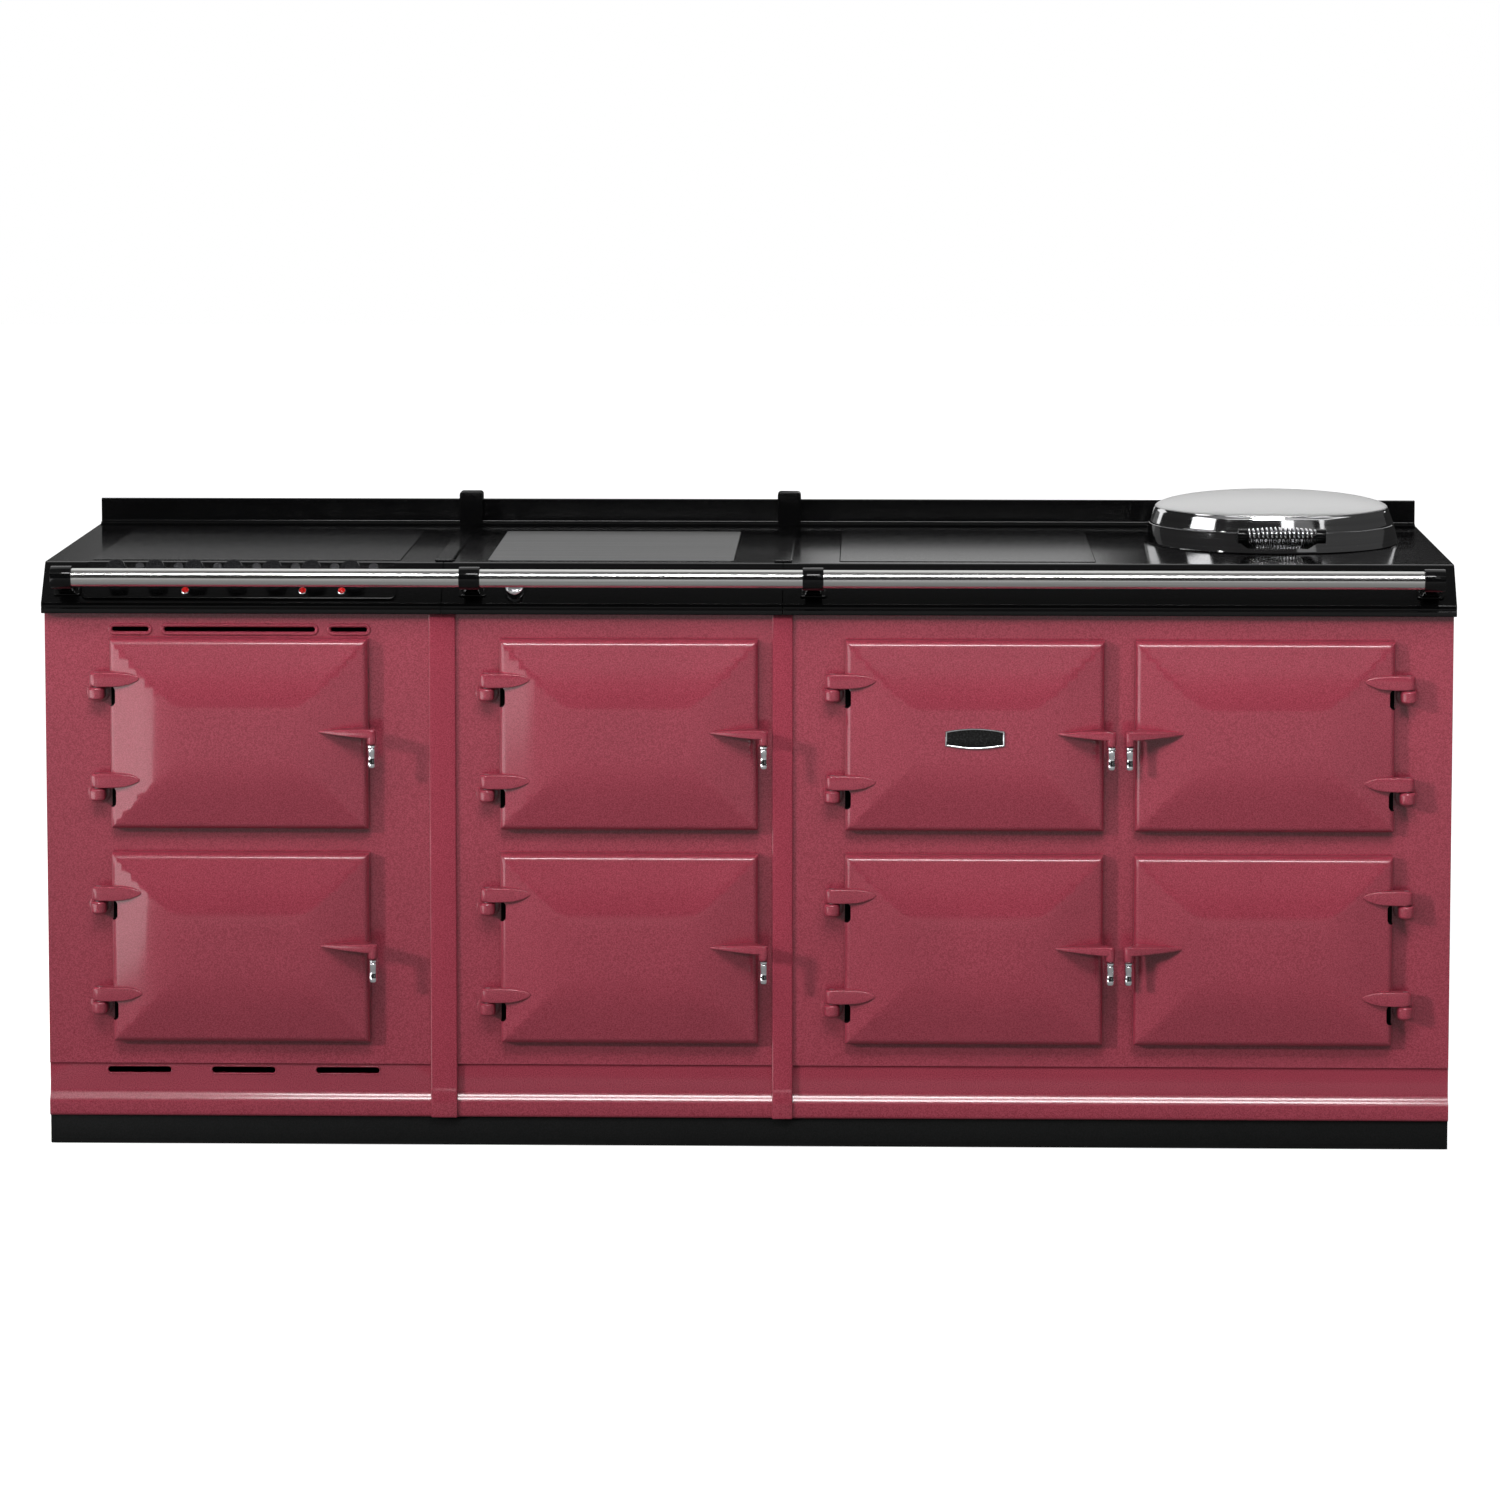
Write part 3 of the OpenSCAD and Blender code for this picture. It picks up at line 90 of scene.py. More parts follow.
def editOff():
    bpy.ops.object.mode_set(mode="OBJECT")


def settle(piece, name):
    piece.name = name
    piece.data.name = name
    bpy.ops.object.transform_apply(location=True, rotation=True, scale=True)
    return piece


def block(name, low, high):
    bpy.ops.object.select_all(action="DESELECT")
    bpy.ops.mesh.primitive_cube_add(size=1, location=[(a + b) / 2 for a, b in zip(low, high)])
    bpy.context.object.scale = [b - a for a, b in zip(low, high)]
    return settle(bpy.context.object, name)


def rod(name, start, end, radius, sides=32, endRadius=None):
    start, end = Vector(start), Vector(end)
    turn = (end - start).to_track_quat("Z", "Y").to_euler()
    bpy.ops.object.select_all(action="DESELECT")
    bpy.ops.mesh.primitive_cone_add(
        vertices=sides, radius1=radius, radius2=radius if endRadius is None else endRadius,
        depth=(end - start).length, location=(start + end) / 2, rotation=turn,
    )
    return settle(bpy.context.object, name)


def ring(name, centre, axis, radius, thick, around=48, across=12):
    bpy.ops.object.select_all(action="DESELECT")
    bpy.ops.mesh.primitive_torus_add(
        major_radius=radius, minor_radius=thick, major_segments=around, minor_segments=across,
        location=centre, rotation=Vector(axis).to_track_quat("Z", "Y").to_euler(),
    )
    return settle(bpy.context.object, name)


def drawLine(name, points):
    # one vertex, extruded from point to point
    bpy.ops.object.select_all(action="DESELECT")
    bpy.ops.mesh.primitive_plane_add(size=0.001, location=points[0])
    piece = settle(bpy.context.object, name)
    editOn(piece)
    bpy.ops.mesh.select_mode(type="VERT")
    selectAll()
    bpy.ops.mesh.merge(type="CENTER")
    for here, there in zip(points, points[1:]):
        step = [b - a for a, b in zip(here, there)]
        bpy.ops.mesh.extrude_vertices_move(TRANSFORM_OT_translate={"value": step})
    selectAll()
    return piece


def prism(name, points, travel):
    # a closed outline, filled and pulled along travel
    piece = drawLine(name, points)
    bpy.ops.mesh.edge_face_add()
    bpy.ops.mesh.extrude_region_move(TRANSFORM_OT_translate={"value": travel})
    selectAll()
    bpy.ops.mesh.normals_make_consistent(inside=False)
    editOff()
    return piece


def sideBar(name, outline, x, long):
    # an outline of the side view, pulled along X
    return prism(name, [(x, y, z) for y, z in outline], (long, 0, 0))


def tongue(name, centre, out, side, radius, reach, travel, steps=20):
    # a bar with one round end, its outline pulled along travel
    centre, out, side = Vector(centre), Vector(out), Vector(side)
    turns = [pi * i / steps for i in range(steps + 1)]
    points = [centre + side * radius * cos(a) + out * radius * sin(a) for a in turns]
    points += [centre - side * radius - out * reach, centre + side * radius - out * reach]
    return prism(name, points, travel)


def turned(name, centre, axis, profile, steps=64):
    # profile points are (radius, height) along the axis; both ends on the axis close the shape
    axis = Vector(axis).normalized()
    side = axis.orthogonal().normalized()
    centre = Vector(centre)
    piece = drawLine(name, [centre + side * r + axis * h for r, h in profile])
    bpy.ops.mesh.spin(steps=steps, angle=2 * pi, center=centre, axis=axis)
    selectAll()
    bpy.ops.mesh.remove_doubles(threshold=0.00001)
    bpy.ops.mesh.normals_make_consistent(inside=False)
    editOff()
    return piece


def selectAll():
    bpy.ops.mesh.select_all(action="SELECT")


def pick(kind, parts, test):
    # selects what the test picks, in edit mode
    bpy.ops.mesh.select_mode(type=kind)
    bpy.ops.mesh.select_all(action="DESELECT")
    mesh = bpy.context.object.data
    shape = bmesh.from_edit_mesh(mesh)
    for part in getattr(shape, parts):
        part.select_set(bool(test(part)))
    if kind == "VERT":
        shape.select_flush_mode()
    bmesh.update_edit_mesh(mesh)


def pickFaces(test):
    pick("FACE", "faces", lambda part: test(part.calc_center_median(), part.normal))


def pickEdges(test):
    pick("EDGE", "edges", lambda part: test(part.verts[0].co, part.verts[1].co))


def pickVerts(test):
    pick("VERT", "verts", lambda part: test(part.co))


def pullApart(piece, axis, middle, reach, margin=0.0):
    # moves the two halves of a round piece away from each other
    editOn(piece)
    for side in (-1, 1):
        pickVerts(lambda c: (c[axis] - middle) * side > margin)
        bpy.ops.transform.translate(value=[side * reach if i == axis else 0 for i in range(3)])
    editOff()
    return piece


def reshape(piece, newPlace):
    # gives each point of the piece its new place
    editOn(piece)
    mesh = bpy.context.object.data
    shape = bmesh.from_edit_mesh(mesh)
    for part in shape.verts:
        part.co = newPlace(part.co)
    bmesh.update_edit_mesh(mesh)
    editOff()
    return piece


def useModifier(piece, kind, **settings):
    selectOnly(piece)
    modifier = piece.modifiers.new(kind.title(), kind)
    for key, value in settings.items():
        setattr(modifier, key, value)
    bpy.ops.object.modifier_apply(modifier=modifier.name)
    return piece


def roundEdges(piece, width, segments=3, angle=30):
    return useModifier(
        piece, "BEVEL", width=width, segments=segments, limit_method="ANGLE",
        angle_limit=radians(angle), harden_normals=False, use_clamp_overlap=True,
    )


def cutWith(piece, tool, operation="DIFFERENCE"):
    useModifier(piece, "BOOLEAN", object=tool, operation=operation, solver="EXACT")
    bpy.data.objects.remove(tool)
    return piece


def drill(piece, start, end, radius, sides=32):
    return cutWith(piece, rod("drill", start, end, radius, sides))


def smooth(piece, angle=40):
    selectOnly(piece)
    bpy.ops.object.shade_smooth_by_angle(angle=radians(angle))
    return piece


def flatten(piece):
    # keeps wide faces flat in shading beside small rounded edges
    return useModifier(piece, "WEIGHTED_NORMAL", keep_sharp=True)


def joinAll(name, pieces):
    bpy.ops.object.select_all(action="DESELECT")
    for piece in pieces:
        piece.select_set(True)
    bpy.context.view_layer.objects.active = pieces[0]
    if len(pieces) > 1:
        bpy.ops.object.join()
    pieces[0].name = name
    pieces[0].data.name = name
    return pieces[0]


def copyOf(piece, name, move=(0, 0, 0), mirrorX=None):
    # a copy with its own mesh, moved or turned over at the plane x = mirrorX
    selectOnly(piece)
    bpy.ops.object.duplicate(linked=False)
    copy = bpy.context.object
    copy.name = name
    copy.data.name = name
    editOn(copy)
    selectAll()
    if mirrorX is not None:
        bpy.ops.transform.resize(value=(-1, 1, 1), center_override=(mirrorX, 0, 0))
        bpy.ops.mesh.flip_normals()
    if any(move):
        bpy.ops.transform.translate(value=move)
    editOff()
    return copy


def finish(piece, bodyName, material, node):
    if material is not None:
        piece.data.materials.clear()
        piece.data.materials.append(material)
    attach(piece, bodyName)
    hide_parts(node)
    return piece


def dress(name, parts, angle, material, node, bodyName="cooker", flat=False):
    # joins the parts, shades them and hands them over in place of their node
    piece = smooth(joinAll(name, parts), angle)
    if flat:
        flatten(piece)
    return finish(piece, bodyName, material, node)


def paintPart(piece, material, test):
    # a second material on the faces that the test picks
    piece.data.materials.append(material)
    index = len(piece.data.materials) - 1
    for part in piece.data.polygons:
        if test(part.center, part.normal):
            part.material_index = index


# ---- materials

def newMaterial(name):
    material = bpy.data.materials.new(name)
    material.use_nodes = True
    tree = material.node_tree
    return material, tree, tree.nodes["Principled BSDF"]


def addNode(tree, kind, **settings):
    node = tree.nodes.new(kind)
    for key, value in settings.items():
        if key in node.bl_rna.properties:
            setattr(node, key, value)
        else:
            node.inputs[key].default_value = value
    return node


def pattern(tree, scale, stretch=(1, 1, 1), centre=(0, 0, 0), detail=2.0, roughness=0.5):
    # noise on the piece's own coordinates
    place = addNode(tree, "ShaderNodeTexCoord")
    mapping = addNode(tree, "ShaderNodeMapping", vector_type="TEXTURE")
    mapping.inputs["Location"].default_value = centre
    mapping.inputs["Scale"].default_value = [1 / s for s in stretch]
    noise = addNode(tree, "ShaderNodeTexNoise", Scale=scale, Detail=detail, Roughness=roughness)
    tree.links.new(place.outputs["Object"], mapping.inputs["Vector"])
    tree.links.new(mapping.outputs["Vector"], noise.inputs["Vector"])
    return noise.outputs["Fac"]


def rings(tree, centre, scale):
    # noise that changes only with the distance from an upright axis
    place = addNode(tree, "ShaderNodeTexCoord")
    away = addNode(tree, "ShaderNodeVectorMath", operation="SUBTRACT")
    away.inputs[1].default_value = centre
    flat = addNode(tree, "ShaderNodeVectorMath", operation="MULTIPLY")
    flat.inputs[1].default_value = (1, 1, 0)
    length = addNode(tree, "ShaderNodeVectorMath", operation="LENGTH")
    noise = addNode(tree, "ShaderNodeTexNoise", noise_dimensions="1D", Scale=scale, Detail=3.0)
    tree.links.new(place.outputs["Object"], away.inputs[0])
    tree.links.new(away.outputs[0], flat.inputs[0])
    tree.links.new(flat.outputs[0], length.inputs[0])
    tree.links.new(length.outputs["Value"], noise.inputs["W"])
    return noise.outputs["Fac"]


def blendColours(tree, fac, low, high, start=0.3, end=0.7):
    ramp = addNode(tree, "ShaderNodeValToRGB")
    ramp.color_ramp.elements[0].position = start
    ramp.color_ramp.elements[1].position = end
    ramp.color_ramp.elements[0].color = (*low, 1)
    ramp.color_ramp.elements[1].color = (*high, 1)
    tree.links.new(fac, ramp.inputs["Fac"])
    return ramp.outputs["Color"]


def spread(tree, fac, low, high):
    reach = addNode(tree, "ShaderNodeMapRange")
    reach.inputs["From Min"].default_value = 0.3
    reach.inputs["From Max"].default_value = 0.7
    reach.inputs["To Min"].default_value = low
    reach.inputs["To Max"].default_value = high
    tree.links.new(fac, reach.inputs["Value"])
    return reach.outputs["Result"]


def mixColours(tree, first, second, fac, mode="MULTIPLY"):
    mix = addNode(tree, "ShaderNodeMix", data_type="RGBA", blend_type=mode)
    mix.inputs[0].default_value = fac
    tree.links.new(first, mix.inputs[6])
    tree.links.new(second, mix.inputs[7])
    return mix.outputs[2]


def bumps(tree, shader, heights, distance, strength=1.0):
    bump = addNode(tree, "ShaderNodeBump", Strength=strength, Distance=distance)
    tree.links.new(heights, bump.inputs["Height"])
    tree.links.new(bump.outputs["Normal"], shader.inputs["Normal"])


def makeEnamel(name, tint, shade, settings, **changes):
    # vitreous enamel: a fine speckle in the glaze, cloudy depth and a slight orange peel
    settings = dict(settings, **changes)
    material, tree, shader = newMaterial(name)
    speckle = blendColours(tree, pattern(tree, settings["speckle"], detail=1.0), shade, tint, 0.36, 0.64)
    cloud = blendColours(tree, pattern(tree, 5.0, detail=3.0), (0.93, 0.93, 0.93), (1.0, 1.0, 1.0), 0.35, 0.65)
    tree.links.new(mixColours(tree, speckle, cloud, 1.0), shader.inputs["Base Color"])
    tree.links.new(
        spread(tree, pattern(tree, settings["speckle"] * 0.6), *settings["roughness"]),
        shader.inputs["Roughness"],
    )
    bumps(tree, shader, pattern(tree, settings["peel"], detail=2.0), settings["peelDepth"])
    shader.inputs["Specular IOR Level"].default_value = settings["specular"]
    shader.inputs["Coat Weight"].default_value = settings["coat"]
    shader.inputs["Coat Roughness"].default_value = settings["coatRoughness"]
    return material


def makeMetal(name, low, high, grain, roughness, depth=0.00001, metallic=1.0, stretch=(1, 1, 1), centre=None):
    # brushed or polished metal: its grain runs along one axis, or in rings about an upright one
    material, tree, shader = newMaterial(name)
    marks = rings(tree, centre, grain) if centre else pattern(tree, grain, stretch=stretch, detail=3.0)
    tree.links.new(blendColours(tree, marks, low, high), shader.inputs["Base Color"])
    tree.links.new(spread(tree, marks, *roughness), shader.inputs["Roughness"])
    bumps(tree, shader, marks, depth)
    shader.inputs["Metallic"].default_value = metallic
    return material


enamelSettings = {
    "speckle": 620.0, "peel": 260.0, "peelDepth": 0.00008, "roughness": (0.27, 0.37),
    "specular": 0.26, "coat": 0.75, "coatRoughness": 0.10,
}
blackSettings = {
    "speckle": 500.0, "peel": 90.0, "peelDepth": 0.00006, "roughness": (0.08, 0.13),
    "specular": 0.22, "coat": 0.0, "coatRoughness": 0.05,
}
enamel = makeEnamel("raspberryEnamel", (0.340, 0.047, 0.077), (0.230, 0.024, 0.042), enamelSettings)
casingEnamel = makeEnamel(
    "casingEnamel", (0.29, 0.045, 0.072), (0.22, 0.030, 0.050), enamelSettings, roughness=(0.38, 0.50),
    coat=0.2,
)
blackEnamel = makeEnamel("blackEnamel", (0.0030, 0.0030, 0.0032), (0.0015, 0.0015, 0.0016), blackSettings)
plinthBlack = makeEnamel(
    "plinthBlack", (0.010, 0.0105, 0.0105), (0.006, 0.0065, 0.0065), blackSettings,
    roughness=(0.34, 0.46), peel=400.0, specular=0.12,
)
# near-black matte paint for the notches beside the hinge lugs: painted shade, standing in for the deep shadow
# there
notchPaintedShade = makeEnamel(
    "notchPaintedShade", (0.006, 0.003, 0.0035), (0.003, 0.002, 0.002), blackSettings, roughness=(0.6, 0.8),
    specular=0.05,
)
ovenEnamel = makeEnamel(
    "ovenEnamel", (0.035, 0.035, 0.038), (0.012, 0.012, 0.014), blackSettings, speckle=900.0,
    roughness=(0.30, 0.45),
)
badgeFace = makeEnamel(
    "badgeFace", (0.012, 0.012, 0.012), (0.006, 0.006, 0.006), blackSettings, roughness=(0.2, 0.3),
)
knobBlack = makeEnamel(
    "knobBlack", (0.010, 0.010, 0.011), (0.006, 0.006, 0.007), blackSettings, roughness=(0.18, 0.26),
    peel=400.0,
)
lampRed = makeEnamel(
    "lampRed", (0.80, 0.012, 0.010), (0.60, 0.008, 0.008), blackSettings, roughness=(0.10, 0.16),
)
hobGlass = makeEnamel(
    "hobGlass", (0.007, 0.007, 0.0075), (0.005, 0.005, 0.0055), blackSettings,
    roughness=(0.12, 0.16), peel=40.0, peelDepth=0.00002,
)
chrome = makeMetal("chromePlate", (0.74, 0.74, 0.76), (0.82, 0.82, 0.84), grain=60.0, roughness=(0.05, 0.10))
satinSteel = makeMetal(
    "satinSteel", (0.56, 0.555, 0.54), (0.66, 0.655, 0.64), grain=3.0, stretch=(1, 260, 260),
    roughness=(0.13, 0.22),
)
warmSteel = makeMetal(
    "warmingSteel", (0.048, 0.048, 0.049), (0.066, 0.066, 0.066),
    grain=3.0, stretch=(1, 220, 220), roughness=(0.34, 0.46), depth=0.00002,
)
zincSteel = makeMetal(
    "zincSteel", (0.42, 0.42, 0.44), (0.58, 0.58, 0.60), grain=160.0, roughness=(0.30, 0.48), depth=0.00002,
)
liningSteel = makeMetal(
    "liningSteel", (0.48, 0.48, 0.49), (0.64, 0.64, 0.65), grain=30.0, roughness=(0.28, 0.44), depth=0.00003,
)
discFace = makeMetal("discFace", (0.055, 0.055, 0.058), (0.085, 0.085, 0.09), grain=500.0, roughness=(0.3, 0.4))
domeSteel = makeMetal(
    "domeSteel", (0.56, 0.56, 0.56), (0.64, 0.64, 0.64), centre=lidCentre, grain=900.0, roughness=(0.34, 0.42),
)
bandSteel = makeMetal(
    "bandSteel", (0.70, 0.70, 0.71), (0.80, 0.80, 0.81), centre=lidCentre, grain=300.0, roughness=(0.05, 0.09),
)
hotIron = makeMetal(
    "machinedIron", (0.055, 0.055, 0.058), (0.12, 0.12, 0.125),
    centre=lidCentre, grain=420.0, roughness=(0.38, 0.55), depth=0.00005, metallic=0.7,
)
print("materials made")


# ---- stage: floor, world, lamps and camera

stage = {
    "fill": 0.30, "sun": 1.6, "sunAngle": 5.0, "sunTowards": (1.15, 1.0, -0.5), "floorGlow": 0.74,
    "floorBounce": 0.30,
    "key": {
        "power": 22.0, "place": (-0.8, -1.9, 2.2), "towards": (0.05, 1.63, -1.30), "size": (6.5, 0.8),
        "spread": 60.0,
    },
    "flags": {
        "frontFlag": ((-14, -12.0, 0.0), (14, -11.9, 12.9), 0.02),
        "leftFlag": ((-7.7, -12.0, 0.0), (-7.6, 9.0, 8.0), 0.02),
        "rightFlag": ((7.0, -8.0, 0.0), (7.1, 9.0, 5.5), 0.05),
        "ceilingFlag": ((-8, -5.0, 7.4), (8, 1.5, 7.5), 0.22),
        "topStrip": ((-1.6, -5.05, 5.85), (1.8, -5.0, 7.2), 30.0),
        "sideWindow": ((1.9, -9.05, 5.4), (4.1, -9.0, 8.4), 1.6),
        "sideCard": ((-4.1, -3.1, 0.0), (-4.0, 0.3, 1.0), 3.0),
        "sideBand": ((-4.1, -2.36, 2.95), (-4.0, 0.07, 4.1), 1.8),
        "greyCard": ((4.1, -9.05, 2.8), (9.0, -9.0, 8.4), 0.18),
    },
    "back": ((-8, 3.0, 0.02), (8, 3.05, 1.46)),
    "backStops": (
        (-8, 0.02), (-1.6, 0.06), (-1.45, 0.12), (-0.7, 0.12), (-0.6, 0.03),
        (0.0, 0.03), (0.08, 0.5), (0.62, 0.5), (0.72, 0.02), (8, 0.02),
    ),
    "table": ((-9, -12.0, 0.0004), (9, -0.4, 0.0006)),
    "tableStops": ((-12, 0.80), (-5, 0.62), (-2.2, 0.40), (-1.0, 0.30), (-0.4, 0.25)),
    "patch": (
        [(-1.7, -1.2, 0.0008), (-3.3, -5.5, 0.0008), (-7.5, -5.5, 0.0008), (-6.0, -0.8, 0.0008)],
        (0, 0, 0.0002), 3.4,
    ),
    "softbox": ((-1.9, -0.02, 0.0), (1.9, 0.0, 1.9), 3.2), "softboxTurn": -46, "softboxMove": (-4.2, -4.3, 0),
    "camera": {
        "place": (0.195, -8.362, 1.729), "tilt": 90 - 5.565, "turn": 1.35, "lens": 131.3, "shift": -0.15,
    },
}


def makeFloor():
    # the camera sees pale paper; the light that bounces off it stays low, as on a dark studio table
    floor = block("studioFloor", (-20, -20, -0.02), (20, 20, 0.0))
    material, tree, shader = newMaterial("paleFloor")
    paper = blendColours(tree, pattern(tree, 3.0, detail=4.0), (0.84, 0.84, 0.84), (0.87, 0.87, 0.87))
    path = addNode(tree, "ShaderNodeLightPath")
    seen = addNode(tree, "ShaderNodeMapRange")
    seen.inputs["To Min"].default_value = stage["floorBounce"]
    tree.links.new(path.outputs["Is Camera Ray"], seen.inputs["Value"])
    tree.links.new(mixColours(tree, paper, seen.outputs["Result"], 1.0), shader.inputs["Base Color"])
    shader.inputs["Roughness"].default_value = 0.9
    shader.inputs["Specular IOR Level"].default_value = 0.1
    shader.inputs["Emission Color"].default_value = (1, 1, 1, 1)
    glow = addNode(tree, "ShaderNodeMath", operation="MULTIPLY")
    glow.inputs[1].default_value = stage["floorGlow"]
    tree.links.new(path.outputs["Is Camera Ray"], glow.inputs[0])
    tree.links.new(glow.outputs[0], shader.inputs["Emission Strength"])
    floor.data.materials.append(material)


def makeWorld():
    world = bpy.data.worlds.new("studioWorld")
    bpy.context.scene.world = world
    world.use_nodes = True
    tree = world.node_tree
    tree.nodes.clear()
    path = addNode(tree, "ShaderNodeLightPath")
    first = addNode(tree, "ShaderNodeMath", operation="MAXIMUM")
    seen = addNode(tree, "ShaderNodeMath", operation="MAXIMUM")
    tree.links.new(path.outputs["Is Camera Ray"], first.inputs[0])
    tree.links.new(path.outputs["Is Glossy Ray"], first.inputs[1])
    tree.links.new(first.outputs[0], seen.inputs[0])
    tree.links.new(path.outputs["Is Transmission Ray"], seen.inputs[1])
    shown = addNode(tree, "ShaderNodeBackground", Color=(1, 1, 1, 1), Strength=1.0)
    fill = addNode(tree, "ShaderNodeBackground", Color=(1, 1, 1, 1), Strength=stage["fill"])
    both = addNode(tree, "ShaderNodeMixShader")
    out = addNode(tree, "ShaderNodeOutputWorld")
    tree.links.new(seen.outputs[0], both.inputs[0])
    tree.links.new(fill.outputs[0], both.inputs[1])
    tree.links.new(shown.outputs[0], both.inputs[2])
    tree.links.new(both.outputs[0], out.inputs["Surface"])


def addLamp(name, kind, place, towards, energy, **settings):
    data = bpy.data.lights.new(name, kind)
    data.energy = energy
    for key, value in settings.items():
        setattr(data, key, value)
    lamp = bpy.data.objects.new(name, data)
    bpy.context.scene.collection.objects.link(lamp)
    lamp.location = place
    lamp.rotation_euler = Vector(towards).to_track_quat("-Z", "Y").to_euler()
    return lamp


def studioCard(name, low, high, grey, stops=(), axis="X"):
    # a flag or softbox that only reflections see, as a studio hangs them around shiny things
    card = block(name, low, high) if len(low) == 3 else prism(name, low, high)
    material, tree, shader = newMaterial(name)
    shader.inputs["Base Color"].default_value = (0, 0, 0, 1)
    shader.inputs["Specular IOR Level"].default_value = 0.0
    shader.inputs["Emission Color"].default_value = (1, 1, 1, 1)
    shader.inputs["Emission Strength"].default_value = grey
    if stops:
        # its grey changes along one axis
        place = addNode(tree, "ShaderNodeTexCoord")
        parts = addNode(tree, "ShaderNodeSeparateXYZ")
        curve = addNode(tree, "ShaderNodeFloatCurve")
        reach = addNode(tree, "ShaderNodeMapRange")
        reach.inputs["From Min"].default_value = stops[0][0]
        reach.inputs["From Max"].default_value = stops[-1][0]
        points = curve.mapping.curves[0].points
        span = stops[-1][0] - stops[0][0]
        points[0].location = (0, stops[0][1])
        points[1].location = (1, stops[-1][1])
        for at, value in stops[1:-1]:
            points.new((at - stops[0][0]) / span, value)
        for point in points:
            point.handle_type = "VECTOR"
        curve.mapping.update()
        tree.links.new(place.outputs["Object"], parts.inputs[0])
        tree.links.new(parts.outputs[axis], reach.inputs["Value"])
        tree.links.new(reach.outputs["Result"], curve.inputs["Value"])
        tree.links.new(curve.outputs["Value"], shader.inputs["Emission Strength"])
    card.data.materials.append(material)
    card.visible_camera = False
    card.visible_diffuse = False
    card.visible_shadow = False
    card.visible_transmission = False
    return card


def hangLamps():
    sun = addLamp(
        "keySun", "SUN", (-4, -3, 3), stage["sunTowards"], stage["sun"], angle=radians(stage["sunAngle"]),
    )
    sun.visible_glossy = False
    key = stage["key"]
    wide, high = key["size"]
    bank = addLamp(
        "keyBank", "AREA", key["place"], key["towards"], key["power"],
        shape="RECTANGLE", size=wide, size_y=high, spread=radians(key["spread"]),
    )
    bank.visible_glossy = False


def hangCards():
    for name, (low, high, grey) in stage["flags"].items():
        studioCard(name, low, high, grey)
    studioCard("backFlag", *stage["back"], 0.0, stage["backStops"])
    studioCard("tableFlag", *stage["table"], 0.0, stage["tableStops"], "Y")
    studioCard("leftPatch", *stage["patch"])
    softbox = studioCard("leftSoftbox", *stage["softbox"])
    editOn(softbox)
    selectAll()
    bpy.ops.transform.rotate(value=radians(stage["softboxTurn"]), orient_axis="Z", center_override=(0, 0, 0))
    bpy.ops.transform.translate(value=stage["softboxMove"])
    editOff()


def setCamera():
    view = stage["camera"]
    lens = bpy.data.cameras.new("studioCamera")
    lens.lens = view["lens"]
    lens.sensor_width = 36
    lens.shift_y = view["shift"]
    lens.clip_end = 200
    camera = bpy.data.objects.new("studioCamera", lens)
    camera.location = view["place"]
    camera.rotation_euler = (radians(view["tilt"]), 0, radians(view["turn"]))
    bpy.context.scene.collection.objects.link(camera)
    bpy.context.scene.camera = camera


makeFloor()
makeWorld()
hangLamps()
hangCards()
setCamera()
bpy.context.scene.view_settings.view_transform = "Standard"
print("stage set")


# ---- doors: a pillow-shaped casting with a rolled rim, two arms and a horn

door = {
    "rimInner": 0.009, "crease": -0.0256, "steep": 0.257, "flatFrom": 0.036, "flatAt": 0.104,
    "slopeSteps": (0.002, 0.004, 0.004, 0.005, 0.006, 0.007, 0.008, 0.009, 0.010, 0.011, 0.011, 0.012, 0.012),
    "rollRadius": 0.012, "rollAngles": (19, 24, 30, 36, 44, 52, 62, 74, 90), "cornerRadius": 0.0095,
    "gap": -0.002, "wall": 0.006, "cut": 0.014, "notch": (0.009, 0.030, 0.007),
    # depth of the thin sheets at the back of the notches, which carry painted shade
    "shadeSheetSpan": (-0.0028, -0.0021),
    "arms": (0.0825, -0.0695), "armHeight": 0.0215, "armRound": 0.0062, "eye": (-0.212, -0.025),
    "eyeRadius": 0.010,
    "armSteps": (
        (0.020, 0.0, 0.96, 0.006), (0.013, -0.0006, 0.82, 0.006), (0.010, -0.0006, 0.62, 0.008),
        (0.0065, 0.0, 0.34, 0.009),
    ),
    "hornTip": (0.072, -0.0405, -0.036), "hornStart": 0.036, "hornRoot": -0.014, "hornThin": 0.0016,
    "hornOut": 0.009, "hornAhead": 0.060, "hornHeight": 0.013, "knuckleRadius": 0.007, "knuckleHeight": 0.023,
}


def slopeHeight(distance):
    # height of the field above the crease: an even slope that eases into the flat middle
    start, end, steep = door["flatFrom"], door["flatAt"], door["steep"]
    if distance <= start:
        return steep * distance
    u = min(1.0, (distance - start) / (end - start))
    return steep * (start + (end - start) / 2 * (1 - (1 - u) ** 2))


